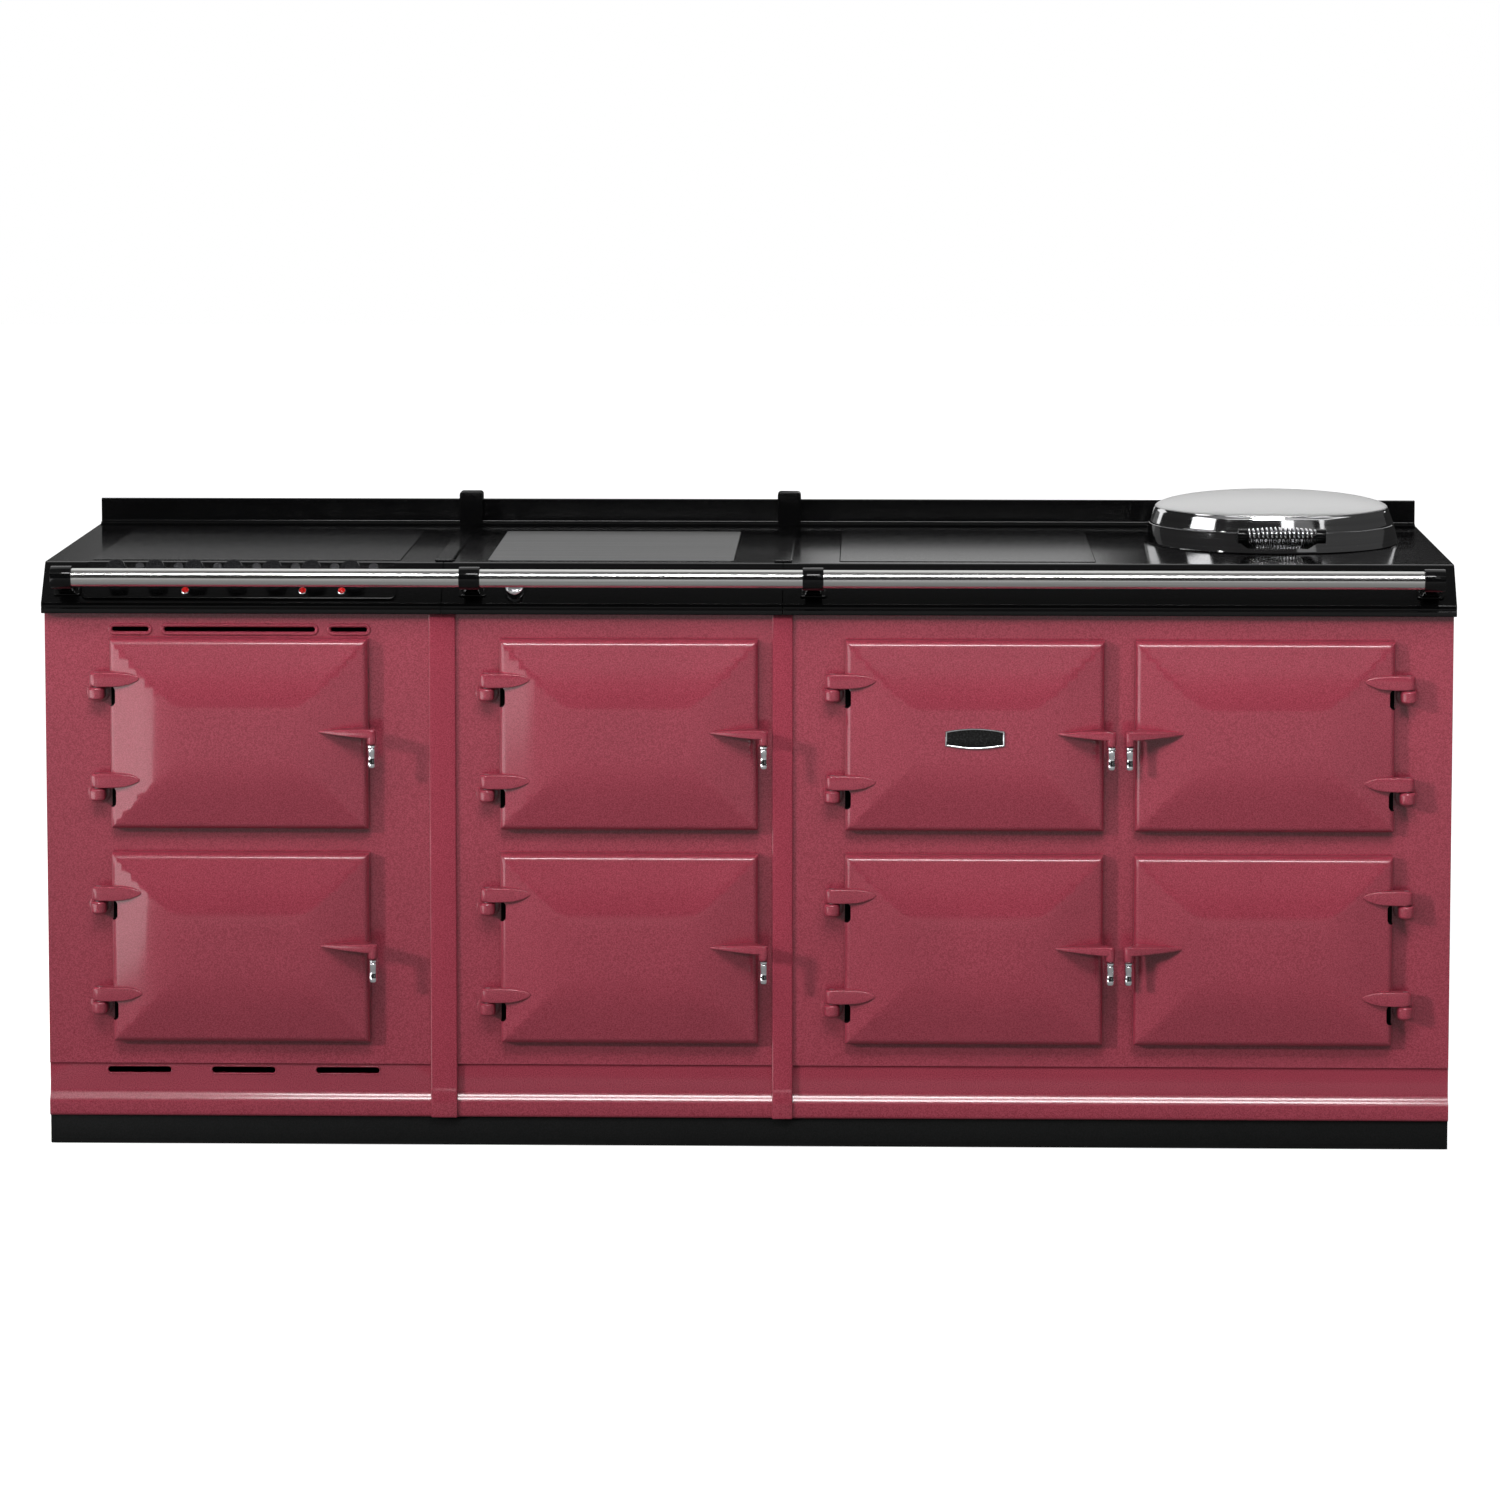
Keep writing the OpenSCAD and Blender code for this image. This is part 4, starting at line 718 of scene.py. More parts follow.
def doorPillow():
    # front face: inset ring by ring, then the rim rolled back from its edge
    width, height = body["doorWidth"] - 2 * door["rimInner"], body["doorHeight"] - 2 * door["rimInner"]
    bpy.ops.object.select_all(action="DESELECT")
    bpy.ops.mesh.primitive_plane_add(size=1, location=(0, door["crease"], 0), rotation=(pi / 2, 0, 0))
    bpy.context.object.scale = (width, height, 1)
    piece = settle(bpy.context.object, "doorPillow")
    editOn(piece)
    selectAll()
    away = 0.0
    for step in door["slopeSteps"]:
        rise = slopeHeight(away + step) - slopeHeight(away)
        away += step
        bpy.ops.mesh.inset(thickness=step, depth=rise, use_even_offset=True)
    # rim: the outer border goes outward and back in a quarter roll, then straight back
    radius = door["rollRadius"]
    tilt = atan2(door["steep"], 1)
    turns = map(radians, door["rollAngles"])
    path = [(radius * (sin(a) - sin(tilt)), radius * (cos(tilt) - cos(a))) for a in turns]
    edge, rear = path[-1][0], door["gap"] - door["crease"]
    path += [(edge, rear), (edge - 2 * door["wall"], rear), (edge - 2 * door["wall"], door["wall"])]
    out, back = 0.0, 0.0
    pickEdges(lambda a, b: all(abs(v.y - door["crease"]) < 1e-6 for v in (a, b)))
    for nextOut, nextBack in path:
        factor = [(width + 2 * nextOut) / (width + 2 * out), 1, (height + 2 * nextOut) / (height + 2 * out)]
        bpy.ops.mesh.extrude_edges_move(TRANSFORM_OT_translate={"value": (0, nextBack - back, 0)})
        bpy.ops.transform.resize(value=factor, center_override=(0, 0, 0))
        out, back = nextOut, nextBack
    # rounded corners, on the mitred edges of the rim only
    halfW, halfH = width / 2, height / 2

    def onMitre(v):
        beyondW, beyondH = abs(v.x) - halfW, abs(v.z) - halfH
        return abs(v.x) > halfW + 0.0005 and abs(v.z) > halfH + 0.0005 and abs(beyondW - beyondH) < 1e-5
    pickEdges(lambda a, b: onMitre(a) and onMitre(b))
    bpy.ops.mesh.bevel(offset=door["cornerRadius"], segments=4, profile=0.5, clamp_overlap=True)

    def onInside(v):
        return abs(v.x) < halfW and abs(v.z) < halfH and abs(v.y - door["crease"] - door["wall"]) < 0.0005
    # the inside of the casting, sunk behind the field
    pickEdges(lambda a, b: onInside(a) and onInside(b))
    bpy.ops.mesh.edge_face_add()
    away = 0.0
    for step in door["slopeSteps"][2:]:
        rise = slopeHeight(away + step) - slopeHeight(away)
        away += step
        bpy.ops.mesh.inset(thickness=step, depth=-rise, use_even_offset=True)
    selectAll()
    bpy.ops.mesh.normals_make_consistent(inside=False)
    # cross cuts keep the shading of the long faces local
    for axis, reach in ((0, width / 2), (2, height / 2)):
        count = int(reach / door["cut"])
        for i in range(-count, count + 1):
            place, normal = [0, 0, 0], [0, 0, 0]
            place[axis] = i * door["cut"]
            normal[axis] = 1
            selectAll()
            bpy.ops.mesh.bisect(plane_co=place, plane_no=normal)
    editOff()
    return piece


def doorArm(height):
    # a bar over the door's edge that tapers into the slope
    top, low = height + door["armHeight"] / 2, height - door["armHeight"] / 2
    eyeX, eyeY = door["eye"]
    front = eyeY - door["eyeRadius"]
    arm = block("arm", (eyeX, front, low), (eyeX + 0.016, -0.014, top))
    editOn(arm)
    pickFaces(lambda c, n: n.x > 0.5)
    for step, ahead, share, down in door["armSteps"]:
        bpy.ops.mesh.extrude_region_move(TRANSFORM_OT_translate={"value": (step, ahead, 0)})
        bpy.ops.transform.resize(value=(1, 1, share), center_override=(0, 0, top - down))
    editOff()
    roundEdges(arm, door["armRound"], 5, 25)
    eye = rod("eye", (eyeX, eyeY, low), (eyeX, eyeY, top), door["eyeRadius"], 40)
    roundEdges(eye, 0.0036, 4, 50)
    cutWith(arm, eye, "UNION")
    return drill(arm, (eyeX, eyeY, low - 0.01), (eyeX, eyeY, top + 0.01), body["pinHole"])


def notchBoxes():
    # inner end, foot and top of the two notches in the door's edge, one under each arm
    deep, tall, _ = door["notch"]
    for height in door["arms"]:
        top = height - door["armHeight"] / 2
        yield -body["doorWidth"] / 2 + deep, top - tall, top


def cutNotches(piece):
    edge = -body["doorWidth"] / 2
    deep, _, radius = door["notch"]
    for inner, low, top in notchBoxes():
        tool = block("notch", (edge - deep, -0.06, low), (inner, 0.01, top))
        editOn(tool)
        pickEdges(lambda a, b: abs(a.y - b.y) > 0.01)
        bpy.ops.mesh.bevel(offset=radius, segments=8)
        editOff()
        cutWith(piece, tool)
    return piece


def notchShadeSheets():
    # thin sheets that close the notches at the back; they take near-black paint as painted shade in the notches
    near, far = door["shadeSheetSpan"]
    edge = -body["doorWidth"] / 2
    return [
        block("notchShadeBacking", (edge + 0.0003, near, low), (inner + 0.001, far, top))
        for inner, low, top in notchBoxes()
    ]


def notchShadeMask(c, n):
    # the walls of the two notches, and the sheets behind them: the faces that get the near-black painted shade
    edge = -body["doorWidth"] / 2
    boxes = list(notchBoxes())
    if c.x >= boxes[0][0] + 0.0015:
        return False
    level = any(low - 0.0005 < c.z < top + 0.0005 for _, low, top in boxes)
    return (n.y > -0.35 and c.x > edge - 0.0005 and level) or (-0.0029 < c.y < -0.0027 and n.y < -0.9)


def easyCurve(a, b, c, steps):
    return [(1 - s) ** 2 * a + 2 * s * (1 - s) * b + s * s * c for s in [i / steps for i in range(steps + 1)]]


def doorHorn():
    # the handle's horn, drawn in plan and pulled up, narrow at its tip
    edge, ahead = body["doorWidth"] / 2, door["hornAhead"]
    end = Vector((edge + door["hornOut"], -ahead))
    tipIn, tipFront, tipRear = door["hornTip"]
    tip = Vector((edge - tipIn, tipFront))
    t, r = door["hornHeight"], door["knuckleRadius"]
    front = easyCurve(tip, Vector((edge - door["hornStart"], -ahead)), end - Vector((0, r)), 12)
    rear = easyCurve(
        end + Vector((0, r)), Vector((edge, -ahead + 2 * r)), Vector((edge - r, door["hornRoot"])), 12,
    )
    outline = front + rear + [Vector((tip.x, tipRear))]
    horn = prism("horn", [(p.x, p.y, 0) for p in outline], (0, 0, t))

    def narrowed(c):
        share = min(1.0, max(0.0, (c.x - tip.x) / (edge - tip.x)))
        half = door["hornThin"] + (t / 2 - door["hornThin"]) * share ** 0.8
        return c.x, c.y, t / 2 + (half if c.z > t / 2 else -half)
    roundEdges(reshape(horn, narrowed), 0.0035, 3, 40)
    knuckle = rod("knuckle", (end.x, end.y, t - door["knuckleHeight"]), (end.x, end.y, t), r, 32)
    roundEdges(knuckle, 0.003, 3, 50)
    return [horn, knuckle]


def spreadOut(model, ending, material):
    # one copy of the model at each door, turned over where the hinge is on the right
    for name, at, mirror in eachDoor():
        copy = copyOf(model, f"{name}_{ending}_shape", at, mirror)
        finish(copy, f"{name}_door", material, f"{name}_{ending}")
    bpy.data.objects.remove(model)


def makeDoors():
    pillow = joinAll("doorPillow", [cutNotches(doorPillow())] + notchShadeSheets())
    parts = [pillow] + [doorArm(height) for height in door["arms"]] + doorHorn()
    for part in parts:
        part.data.materials.append(enamel)
    # the notch walls and their back sheets get near-black painted shade
    paintPart(pillow, notchPaintedShade, notchShadeMask)
    model = joinAll("doorModel", parts)
    smooth(model, 50)
    spreadOut(model, "door", None)
    print("doors cast")


makeDoors()


# ---- door linings, grips and the plain plate on the inner upper door

fittings = {
    "flange": (0.362, 0.262, 0.003), "plug": (0.296, 0.201, 0.012), "sealRadius": 0.0035, "seat": -0.002,
    "plugSteps": ((0.018, 0.0), (0.006, -0.004), (0.050, 0.0), (0.005, 0.003)),
    "rivetsX": (-0.170, 0, 0.170), "rivetsZ": (-0.121, 0.121),
    "rivet": [(0, 0.0009), (0.002, 0.0008), (0.0034, 0.0003), (0.004, -0.001), (0, -0.001)],
    "gripRadius": 0.00625, "gripLength": 0.034, "studRadius": 0.0024,
    "badge": (0.088, 0.022, 0.0045, 0.003), "badgeRim": 0.0016, "badgeSeat": -0.044, "badgeDark": 0.036,
}


def makeLinings():
    seat = fittings["seat"]
    width, height, thick = fittings["flange"]
    flange = block("flange", (-width / 2, seat - thick, -height / 2), (width / 2, seat, height / 2))
    roundEdges(flange, 0.001, 2)
    width, height, deep = fittings["plug"]
    plug = block("plug", (-width / 2, -0.0025, -height / 2), (width / 2, deep, height / 2))
    editOn(plug)
    pickFaces(lambda c, n: n.y > 0.5)
    for inward, outward in fittings["plugSteps"]:
        bpy.ops.mesh.inset(thickness=inward, depth=outward)
    editOff()
    roundEdges(plug, 0.002, 3)
    # rope seal: a ring pulled out into a rounded rectangle
    seal = ring("seal", (0, -0.0005, 0), (0, 1, 0), 0.012, fittings["sealRadius"] * 0.4, 50, 8)
    pullApart(seal, 0, 0, width / 2 - 0.004)
    pullApart(seal, 2, 0, height / 2 - 0.004)
    rivets = []
    for x in fittings["rivetsX"]:
        for z in fittings["rivetsZ"]:
            rivets.append(turned("rivet", (x, seat, z), (0, 1, 0), fittings["rivet"], 16))
    model = joinAll("liningModel", [flange, plug, seal] + rivets)
    smooth(model, 20)
    spreadOut(model, "lining", liningSteel)
    print("linings made")


def makeGrips():
    r, long, stud = fittings["gripRadius"], fittings["gripLength"], fittings["studRadius"]
    at = (
        body["doorWidth"] / 2 + door["hornOut"],
        -door["hornAhead"],
        door["hornHeight"] - door["knuckleHeight"],
    )
    profile = [
        (0, 0.009), (stud, 0.0085), (stud, 0.0), (r * 0.8, -0.0001), (r, -0.001), (r, -0.0035),
        (r * 0.82, -0.0045), (r * 0.84, -0.0056), (r * 0.94, -0.0064), (r * 0.97, -0.0135),
        (r * 0.90, -0.0142), (r * 0.90, -0.0238), (r * 0.97, -0.0245), (r * 0.97, -long + 0.0024),
        (r * 0.90, -long + 0.0008), (r * 0.80, -long), (0, -long),
    ]
    model = turned("gripModel", at, (0, 0, 1), profile, 40)
    smooth(model, 35)
    spreadOut(model, "grip", chrome)
    print("grips made")


def makeBadge():
    width, high, bulge, thick = fittings["badge"]
    seat = fittings["badgeSeat"]
    steps = 12
    top = [
        (width / 2 * i / steps, high / 2 + bulge * cos(pi / 2 * i / steps)) for i in range(-steps, steps + 1)
    ]
    outline = top + [(x, -z) for x, z in reversed(top)]
    model = prism("badgeModel", [(x, seat, z) for x, z in outline], (0, -thick, 0))
    editOn(model)
    pickFaces(lambda c, n: n.y < -0.9 and abs(c.y - seat + thick) < 0.0003)
    bpy.ops.mesh.inset(thickness=fittings["badgeRim"], depth=0.0, use_even_offset=True)
    bpy.ops.mesh.inset(thickness=0.0004, depth=-0.0006, use_even_offset=True)
    editOff()
    roundEdges(model, 0.0006, 2, 50)
    middle = body["columns"]["inner"][0]
    plate = copyOf(model, "badge_plate", (middle, body["face"], body["rows"]["top"]))
    bpy.data.objects.remove(model)
    dress("badge_plate", [plate], 40, chrome, "door_badge", "inner_top_door")
    sunk = body["face"] + seat - thick + 0.0003
    paintPart(
        plate, badgeFace, lambda c, n: n.y < -0.9 and abs(c.x - middle) < fittings["badgeDark"] and c.y > sunk,
    )
    print("badge made")


makeLinings()
makeGrips()
makeBadge()


# ---- front plates with mouths, ventilation slots and hinge lugs

front = {
    "mouth": (0.310, 0.215), "edge": 0.0012,
    "vents": ((-0.1635, 0.056), (0, 0.227), (0.1635, 0.056)), "ventHeight": 0.0085, "ventZ": 0.782,
    "ventRim": 0.0032,
    "lugRadius": 0.012, "lugHeight": 0.019, "lugs": (0.05185, -0.10015), "pin": (-0.212, -0.025),
    "collar": [(0, 0.0014), (0.0145, 0.0014), (0.0175, 0.0), (0.0175, -0.002), (0, -0.002)],
}


def stadium(name, x, z, width, height, y0, y1, sides=66):
    # a round-ended bar along Y
    bar = rod(name, (x, y0, z), (x, y1, z), height / 2, sides)
    return pullApart(bar, 0, x, (width - height) / 2, 0.00001)


def slotRim(x, z, width, height, y, thick):
    rim = ring("slotRim", (x, y, z), (0, 1, 0), height / 2 + thick * 0.7, thick, 50, 10)
    return pullApart(rim, 0, x, (width - height) / 2)


def lugModel():
    x, y = front["pin"]
    tall = front["lugHeight"]
    lug = tongue("lug", (x, y, 0), (0, -1, 0), (1, 0, 0), front["lugRadius"], 0.001 - y, (0, 0, tall))
    roundEdges(lug, 0.0045, 4, 50)
    drill(lug, (x, y, -0.01), (x, y, tall + 0.01), body["pinHole"])
    collar = turned("collar", (x, 0, tall / 2), (0, -1, 0), front["collar"], 40)
    return joinAll("lugModel", [lug, collar])


def makeFrontPlates():
    lug = lugModel()
    w, h = front["mouth"]
    for m, (name, columns) in enumerate(body["modules"].items()):
        x0, x1 = moduleEnds(m)
        plate = block(
            "frontPlate", (x0, body["face"], body["plateLow"]), (x1, body["caseFront"], body["plateTop"]),
        )
        for column in columns:
            x = body["columns"][column][0]
            for z in body["rows"].values():
                cutWith(plate, block("mouth", (x - w / 2, -0.3, z - h / 2), (x + w / 2, -0.2, z + h / 2)))
        parts = [plate]
        if name == "left":
            z, high = front["ventZ"], front["ventHeight"]
            for x, width in front["vents"]:
                x += body["columns"]["left"][0]
                cutWith(plate, stadium("vent", x, z, width, high, -0.3, -0.2))
                parts.append(slotRim(x, z, width, high, body["face"] + 0.0008, front["ventRim"]))
        roundEdges(plate, front["edge"], 2, 50)
        for column in columns:
            x, side = body["columns"][column]
            for z in body["rows"].values():
                for up in front["lugs"]:
                    parts.append(copyOf(lug, "lug", (x, body["face"], z + up), 0 if side > 0 else None))
        dress(f"front_plate_{name}_casting", parts, 35, enamel, f"front_plate_{name}", flat=True)
    bpy.data.objects.remove(lug)
    print("front plates made")


makeFrontPlates()


# ---- skirt, strips, plinth, feet and casings

base = {
    "skirtBack": 0.004, "roll": 0.009, "skirtThick": 0.006, "slot": (0.096, 0.010), "slotPitch": 0.157,
    "slotZ": 0.114, "strips": (0.040, 0.031), "stripThick": 0.006, "footOut": 0.004, "footTop": 0.091,
    "panel": 0.003, "board": 0.006, "lift": 0.0015, "footIn": 0.060,
    "bendZ": 0.085, "rollZ": 0.065, "slotRim": 0.0014, "thread": (0.0018, 0.0165, 12),
    "foot": [
        (0, 0), (0.0205, 0), (0.022, 0.0015), (0.022, 0.0065), (0.0205, 0.008), (0.012, 0.008),
        (0.011, 0.0085), (0.011, 0.0150), (0.0095, 0.016), (0.006, 0.016),
    ],
}


def skirtOutline():
    top = body["face"] + base["skirtBack"]
    low = top - base["roll"]
    bend, roll = base["bendZ"], base["rollZ"]
    z0, z1, t = body["plinthTop"], body["plateLow"], base["skirtThick"]
    steps = 10
    outer = [
        (top - base["roll"] * (1 - cos(pi * i / steps)) / 2, bend - (bend - roll) * i / steps)
        for i in range(steps + 1)
    ]
    inner = [(y + t, z) for y, z in reversed(outer)]
    head = [(body["caseFront"], z1), (top + 0.0012, z1), (top + 0.0003, z1 - 0.0005), (top, z1 - 0.0015)]
    rolled = [(low, 0.050), (low + 0.0006, 0.0472), (low + 0.0022, 0.0456), (low + 0.0040, z0), (low + t, z0)]
    return head + outer + rolled + inner + [(top + t, z1 - t), (body["caseFront"], z1 - t)]


def makeSkirt():
    parts = []
    z, face = base["slotZ"], body["face"] + base["skirtBack"]
    for m, (x0, x1) in enumerate(besideCovers(base["strips"])):
        panel = sideBar("skirt", skirtOutline(), x0, x1 - x0)
        for i in (-1, 0, 1) if m == 0 else ():
            x = body["columns"]["left"][0] + i * base["slotPitch"]
            cutWith(panel, stadium("slot", x, z, *base["slot"], -0.3, -0.2))
            parts.append(slotRim(x, z, *base["slot"], face + 0.0004, base["slotRim"]))
        parts.append(panel)
    dress("skirt_panels_casting", parts, 40, enamel, "skirt_panels")
    print("skirt made")


def makeStrips():
    strips = []
    y, top = body["face"], base["footTop"]
    bar = y - base["stripThick"]
    out = base["footOut"]
    outline = [
        (y, body["plateTop"]), (bar, body["plateTop"]), (bar, top), (bar - out * 0.3, top - 0.003),
        (bar - out, top - 2 * out), (bar - out, body["plinthTop"]), (body["caseFront"], body["plinthTop"]),
        (body["caseFront"], body["plateLow"]), (y, body["plateLow"]),
    ]
    for x, width in zip(body["seams"], base["strips"]):
        strip = sideBar("strip", outline, x - width / 2, width)
        strips.append(roundEdges(strip, 0.0024, 4, 50))
    dress("cover_strips_bars", strips, 40, enamel, "cover_strips")
    print("strips made")


def makePlinth():
    y0, y1 = body["face"] + base["skirtBack"] / 2, body["back"] - base["panel"]
    low, top, t = base["lift"], body["plinthTop"], base["board"]
    plinth = block("plinth_boards", (body["left"], y0, low), (body["right"], y1, top))
    cutWith(
        plinth,
        block("inside", (body["left"] + t, y0 + t, low - 0.01), (body["right"] - t, y1 - t, top + 0.01)),
    )
    roundEdges(plinth, 0.001, 2, 50)
    dress("plinth_boards", [plinth], 35, plinthBlack, "plinth")
    print("plinth made")


def makeFeet():
    pitch, start, count = base["thread"]
    profile = base["foot"].copy()
    for i in range(count):
        profile += [(0.006, start + pitch * i), (0.0053, start + pitch / 2 + pitch * i)]
    profile += [(0.006, 0.039), (0.006, body["plinthTop"]), (0, body["plinthTop"])]
    model = turned("footModel", (0, 0, 0), (0, 0, 1), profile, 32)
    feet = []
    edges = [body["left"], *body["seams"], body["right"]]
    for left, right in zip(edges, edges[1:]):
        for x in (left + base["footIn"], right - base["footIn"]):
            for y in (body["face"] + base["footIn"], body["back"] - base["footIn"]):
                feet.append(copyOf(model, "foot", (x, y, 0)))
    bpy.data.objects.remove(model)
    dress("levelling_feet_set", feet, 35, zincSteel, "levelling_feet")
    print("feet made")


def makeCasings():
    sheets = []
    ya, yb = body["caseFront"], body["back"]
    z0, z1, t = body["plinthTop"], body["plateTop"], base["panel"]
    for m in range(3):
        x0, x1 = moduleEnds(m)
        for a, b in ((x0, x0 + t), (x1 - t, x1)):
            sheets.append(block("side", (a, ya, z0 + t), (b, yb, z1)))
        sheets.append(block("rear", (x0 + t, yb - t, z0 + t), (x1 - t, yb, z1)))
        sheets.append(block("bottom", (x0, ya, z0), (x1, yb, z0 + t)))
    casing = roundEdges(joinAll("casing_sheets", sheets), 0.0008, 2, 50)
    dress("casing_sheets", [casing], 35, casingEnamel, "casings")
    print("casings made")


makeSkirt()
makeStrips()
makePlinth()
makeFeet()
makeCasings()


# ---- top plates, splashbacks and joint covers

crown = {
    "thick": 0.009, "noseOut": 0.015, "tilt": radians(40), "noseZ": 0.826, "lipOut": 0.003, "round": 0.008,
    "endOut": 0.0025,
    "seat": (0.008, 0.007), "hobGap": 0.0005, "ledge": 0.010, "sheet": 0.005, "sheetUp": 0.001,
    "hotplateHole": 0.1765,
    "hobs": {
        "left": (-0.9845, 0.463, 0.485), "middle": (-0.3905, 0.369, 0.446), "right": (0.1375, 0.383, 0.500),
    },
    "hobFront": -0.2145, "panelEdge": 0.006,
}
noseTop = body["face"] - crown["noseOut"] + (body["hob"] - crown["noseZ"]) * tan(crown["tilt"])
slopeMid = Vector((0, (body["face"] - crown["noseOut"] + noseTop) / 2, (crown["noseZ"] + body["hob"]) / 2))
slopeUp = Vector((0, sin(crown["tilt"]), cos(crown["tilt"])))
slopeOut = Vector((0, -cos(crown["tilt"]), sin(crown["tilt"])))


def onSlope(x, up=0.0, out=0.0):
    return Vector((x, 0, 0)) + slopeMid + slopeUp * up + slopeOut * out


def crownOutline():
    # section of a top plate: from the rear over the hob and down the slope to the lip
    turn = pi / 2 - crown["tilt"]
    r, steps = crown["round"], 8
    y, top = noseTop + r * tan(turn / 2), body["hob"] - r
    z, low = crown["noseZ"], body["plateTop"]
    nose = body["face"] - crown["noseOut"]
    lip = nose - crown["lipOut"]
    points = [(body["back"], low), (body["back"], body["hob"])]
    points += [(y - r * sin(turn * i / steps), top + r * cos(turn * i / steps)) for i in range(steps + 1)]
    points += [(nose, z), (nose - crown["lipOut"] * 0.6, z - 0.0012), (lip, z - 0.0036), (lip, z - 0.0085)]
    points += [(lip + 0.0010, z - 0.0095), (lip + 0.0010, z - 0.0105), (lip, z - 0.0115)]
    return points + [(lip, low + 0.0022), (lip + 0.0007, low + 0.0006), (lip + 0.0024, low)]


def crownHollow():
    t = crown["thick"]
    slopeThick = t / cos(crown["tilt"])
    wall = body["face"] - crown["noseOut"] - crown["lipOut"] + t
    slopeZ = crown["noseZ"] + (wall - slopeThick - body["face"] + crown["noseOut"]) / tan(crown["tilt"])
    seatDeep, seatThick = crown["seat"]
    low, high = body["plateTop"], body["hob"] - t
    seatY, seatZ = body["face"] + seatDeep, low + seatThick
    return [
        (body["back"] - t, low - 0.001), (body["back"] - t, high),
        (noseTop - t * tan(crown["tilt"]) + slopeThick, high),
        (wall, max(slopeZ, seatZ)), (wall, seatZ), (seatY, seatZ), (seatY, low - 0.001),
    ]


def drillSlope(piece, x, up, deep):
    # a spindle hole square to the slope
    return drill(piece, onSlope(x, up, deep), onSlope(x, up, 0.02), body["spindleHole"])


def slopeBlock(name, x, up, width, height, low, high):
    # a block that lies on the slope
    piece = block(name, (-width / 2, -height / 2, low), (width / 2, height / 2, high))
    piece.rotation_euler = (pi / 2 - crown["tilt"], 0, 0)
    piece.location = onSlope(x, up)
    return settle(piece, name)


def makeCrowns():
    t, gap, ledge = crown["thick"], crown["hobGap"], crown["ledge"]
    y, floor, above = crown["hobFront"], body["hob"] + crown["sheetUp"] - crown["sheet"], 0.9
    for m, name in enumerate(body["modules"]):
        x0, x1 = moduleEnds(m, crown["endOut"])
        plate = sideBar("crown", crownOutline(), x0, x1 - x0)
        cutWith(plate, sideBar("hollow", crownHollow(), x0 + t, x1 - x0 - 2 * t))
        x, width, deep = crown["hobs"][name]
        cutWith(plate, block("recess", (x - gap, y - gap, floor), (x + width + gap, y + deep + gap, above)))
        cutWith(
            plate, block("window", (x + ledge, y + ledge, 0.86), (x + width - ledge, y + deep - ledge, above)),
        )
        extra = []
        if name == "left":
            wide, high = panel["width"] - 2 * crown["panelEdge"], panel["height"] - 2 * crown["panelEdge"]
            cutWith(plate, slopeBlock("panelWindow", panel["x"], 0, wide, high, -0.02, 0.01))
        if name == "middle":
            drillSlope(plate, timer["x"], -timer["down"], -0.03)
        if name == "right":
            drill(plate, (*body["lid"], 0.86), (*body["lid"], above), crown["hotplateHole"], 128)
            extra = lidEars()
        roundEdges(plate, 0.0008, 2, 40)
        dress(
            f"top_plate_{name}_casting", [plate] + extra, 30, blackEnamel, f"top_plate_{name}",
            flat=True,
        )
    print("top plates made")


def lidEars():
    # two ears that hold the lid's hinge pin
    ears = []
    x, y, z = lid["pin"]
    r, wide = lid["barrel"], lid["earWide"]
    for side in (-1, 1):
        x0 = x + side * (lid["barrelWidth"] / 2 + 0.0005 + wide / 2) - wide / 2
        ear = tongue("ear", (x0, y, z), (0, 0, 1), (0, 1, 0), r, z - body["hob"] + 0.001, (wide, 0, 0))
        roundEdges(ear, 0.0015, 3, 50)
        ears.append(drill(ear, (x0 - 0.01, y, z), (x0 + 0.03, y, z), body["pinHole"]))
    return ears


rear = {
    "thick": 0.007, "foot": (0.016, 0.004), "high": 0.042, "cover": (0.027, 0.004),
    "cap": (0.037, 0.030, 0.055),
}


def splashOutline():
    y, z, t = body["back"], body["hob"], rear["thick"]
    deep, high = rear["foot"]
    top, low = z + rear["high"], z + high
    return [
        (y, z), (y, top - 0.0035), (y - 0.001, top - 0.001), (y - t / 2, top), (y - t + 0.001, top - 0.001),
        (y - t, top - 0.0035), (y - t, low + 0.004), (y - t - 0.0012, low + 0.0012), (y - t - 0.004, low),
        (y - deep + 0.0015, low), (y - deep, low - 0.0015), (y - deep, z),
    ]


def makeSplashbacks():
    capWide = rear["cap"][0]
    bars = []
    for x0, x1 in besideCovers((capWide, capWide)):
        bars.append(sideBar("splash", splashOutline(), x0, x1 - x0))
    dress("splashback_bars", bars, 45, blackEnamel, "splashbacks", flat=True)
    print("splashbacks made")


def makeJointCovers():
    y, z = body["back"], body["hob"]
    capWide, capDeep, capHigh = rear["cap"]
    wide, thick = rear["cover"]
    covers = []
    for x in body["seams"]:
        bar = block(
            "coverBar", (x - wide / 2, noseTop + crown["round"], z), (x + wide / 2, y - capDeep, z + thick),
        )
        roundEdges(bar, 0.0018, 3, 50)
        cap = block("rearCap", (x - capWide / 2, y - capDeep, z), (x + capWide / 2, y, z + capHigh))
        editOn(cap)
        pickEdges(lambda a, b: abs(a.y - b.y) > 0.01 and a.z > z + 0.01)
        bpy.ops.mesh.bevel(offset=0.005, segments=5)
        editOff()
        roundEdges(cap, 0.0016, 3, 50)
        covers += [bar, cap]
    dress("joint_cover_bars", covers, 40, blackEnamel, "joint_covers", flat=True)
    print("joint covers made")


# ---- control panel and knobs

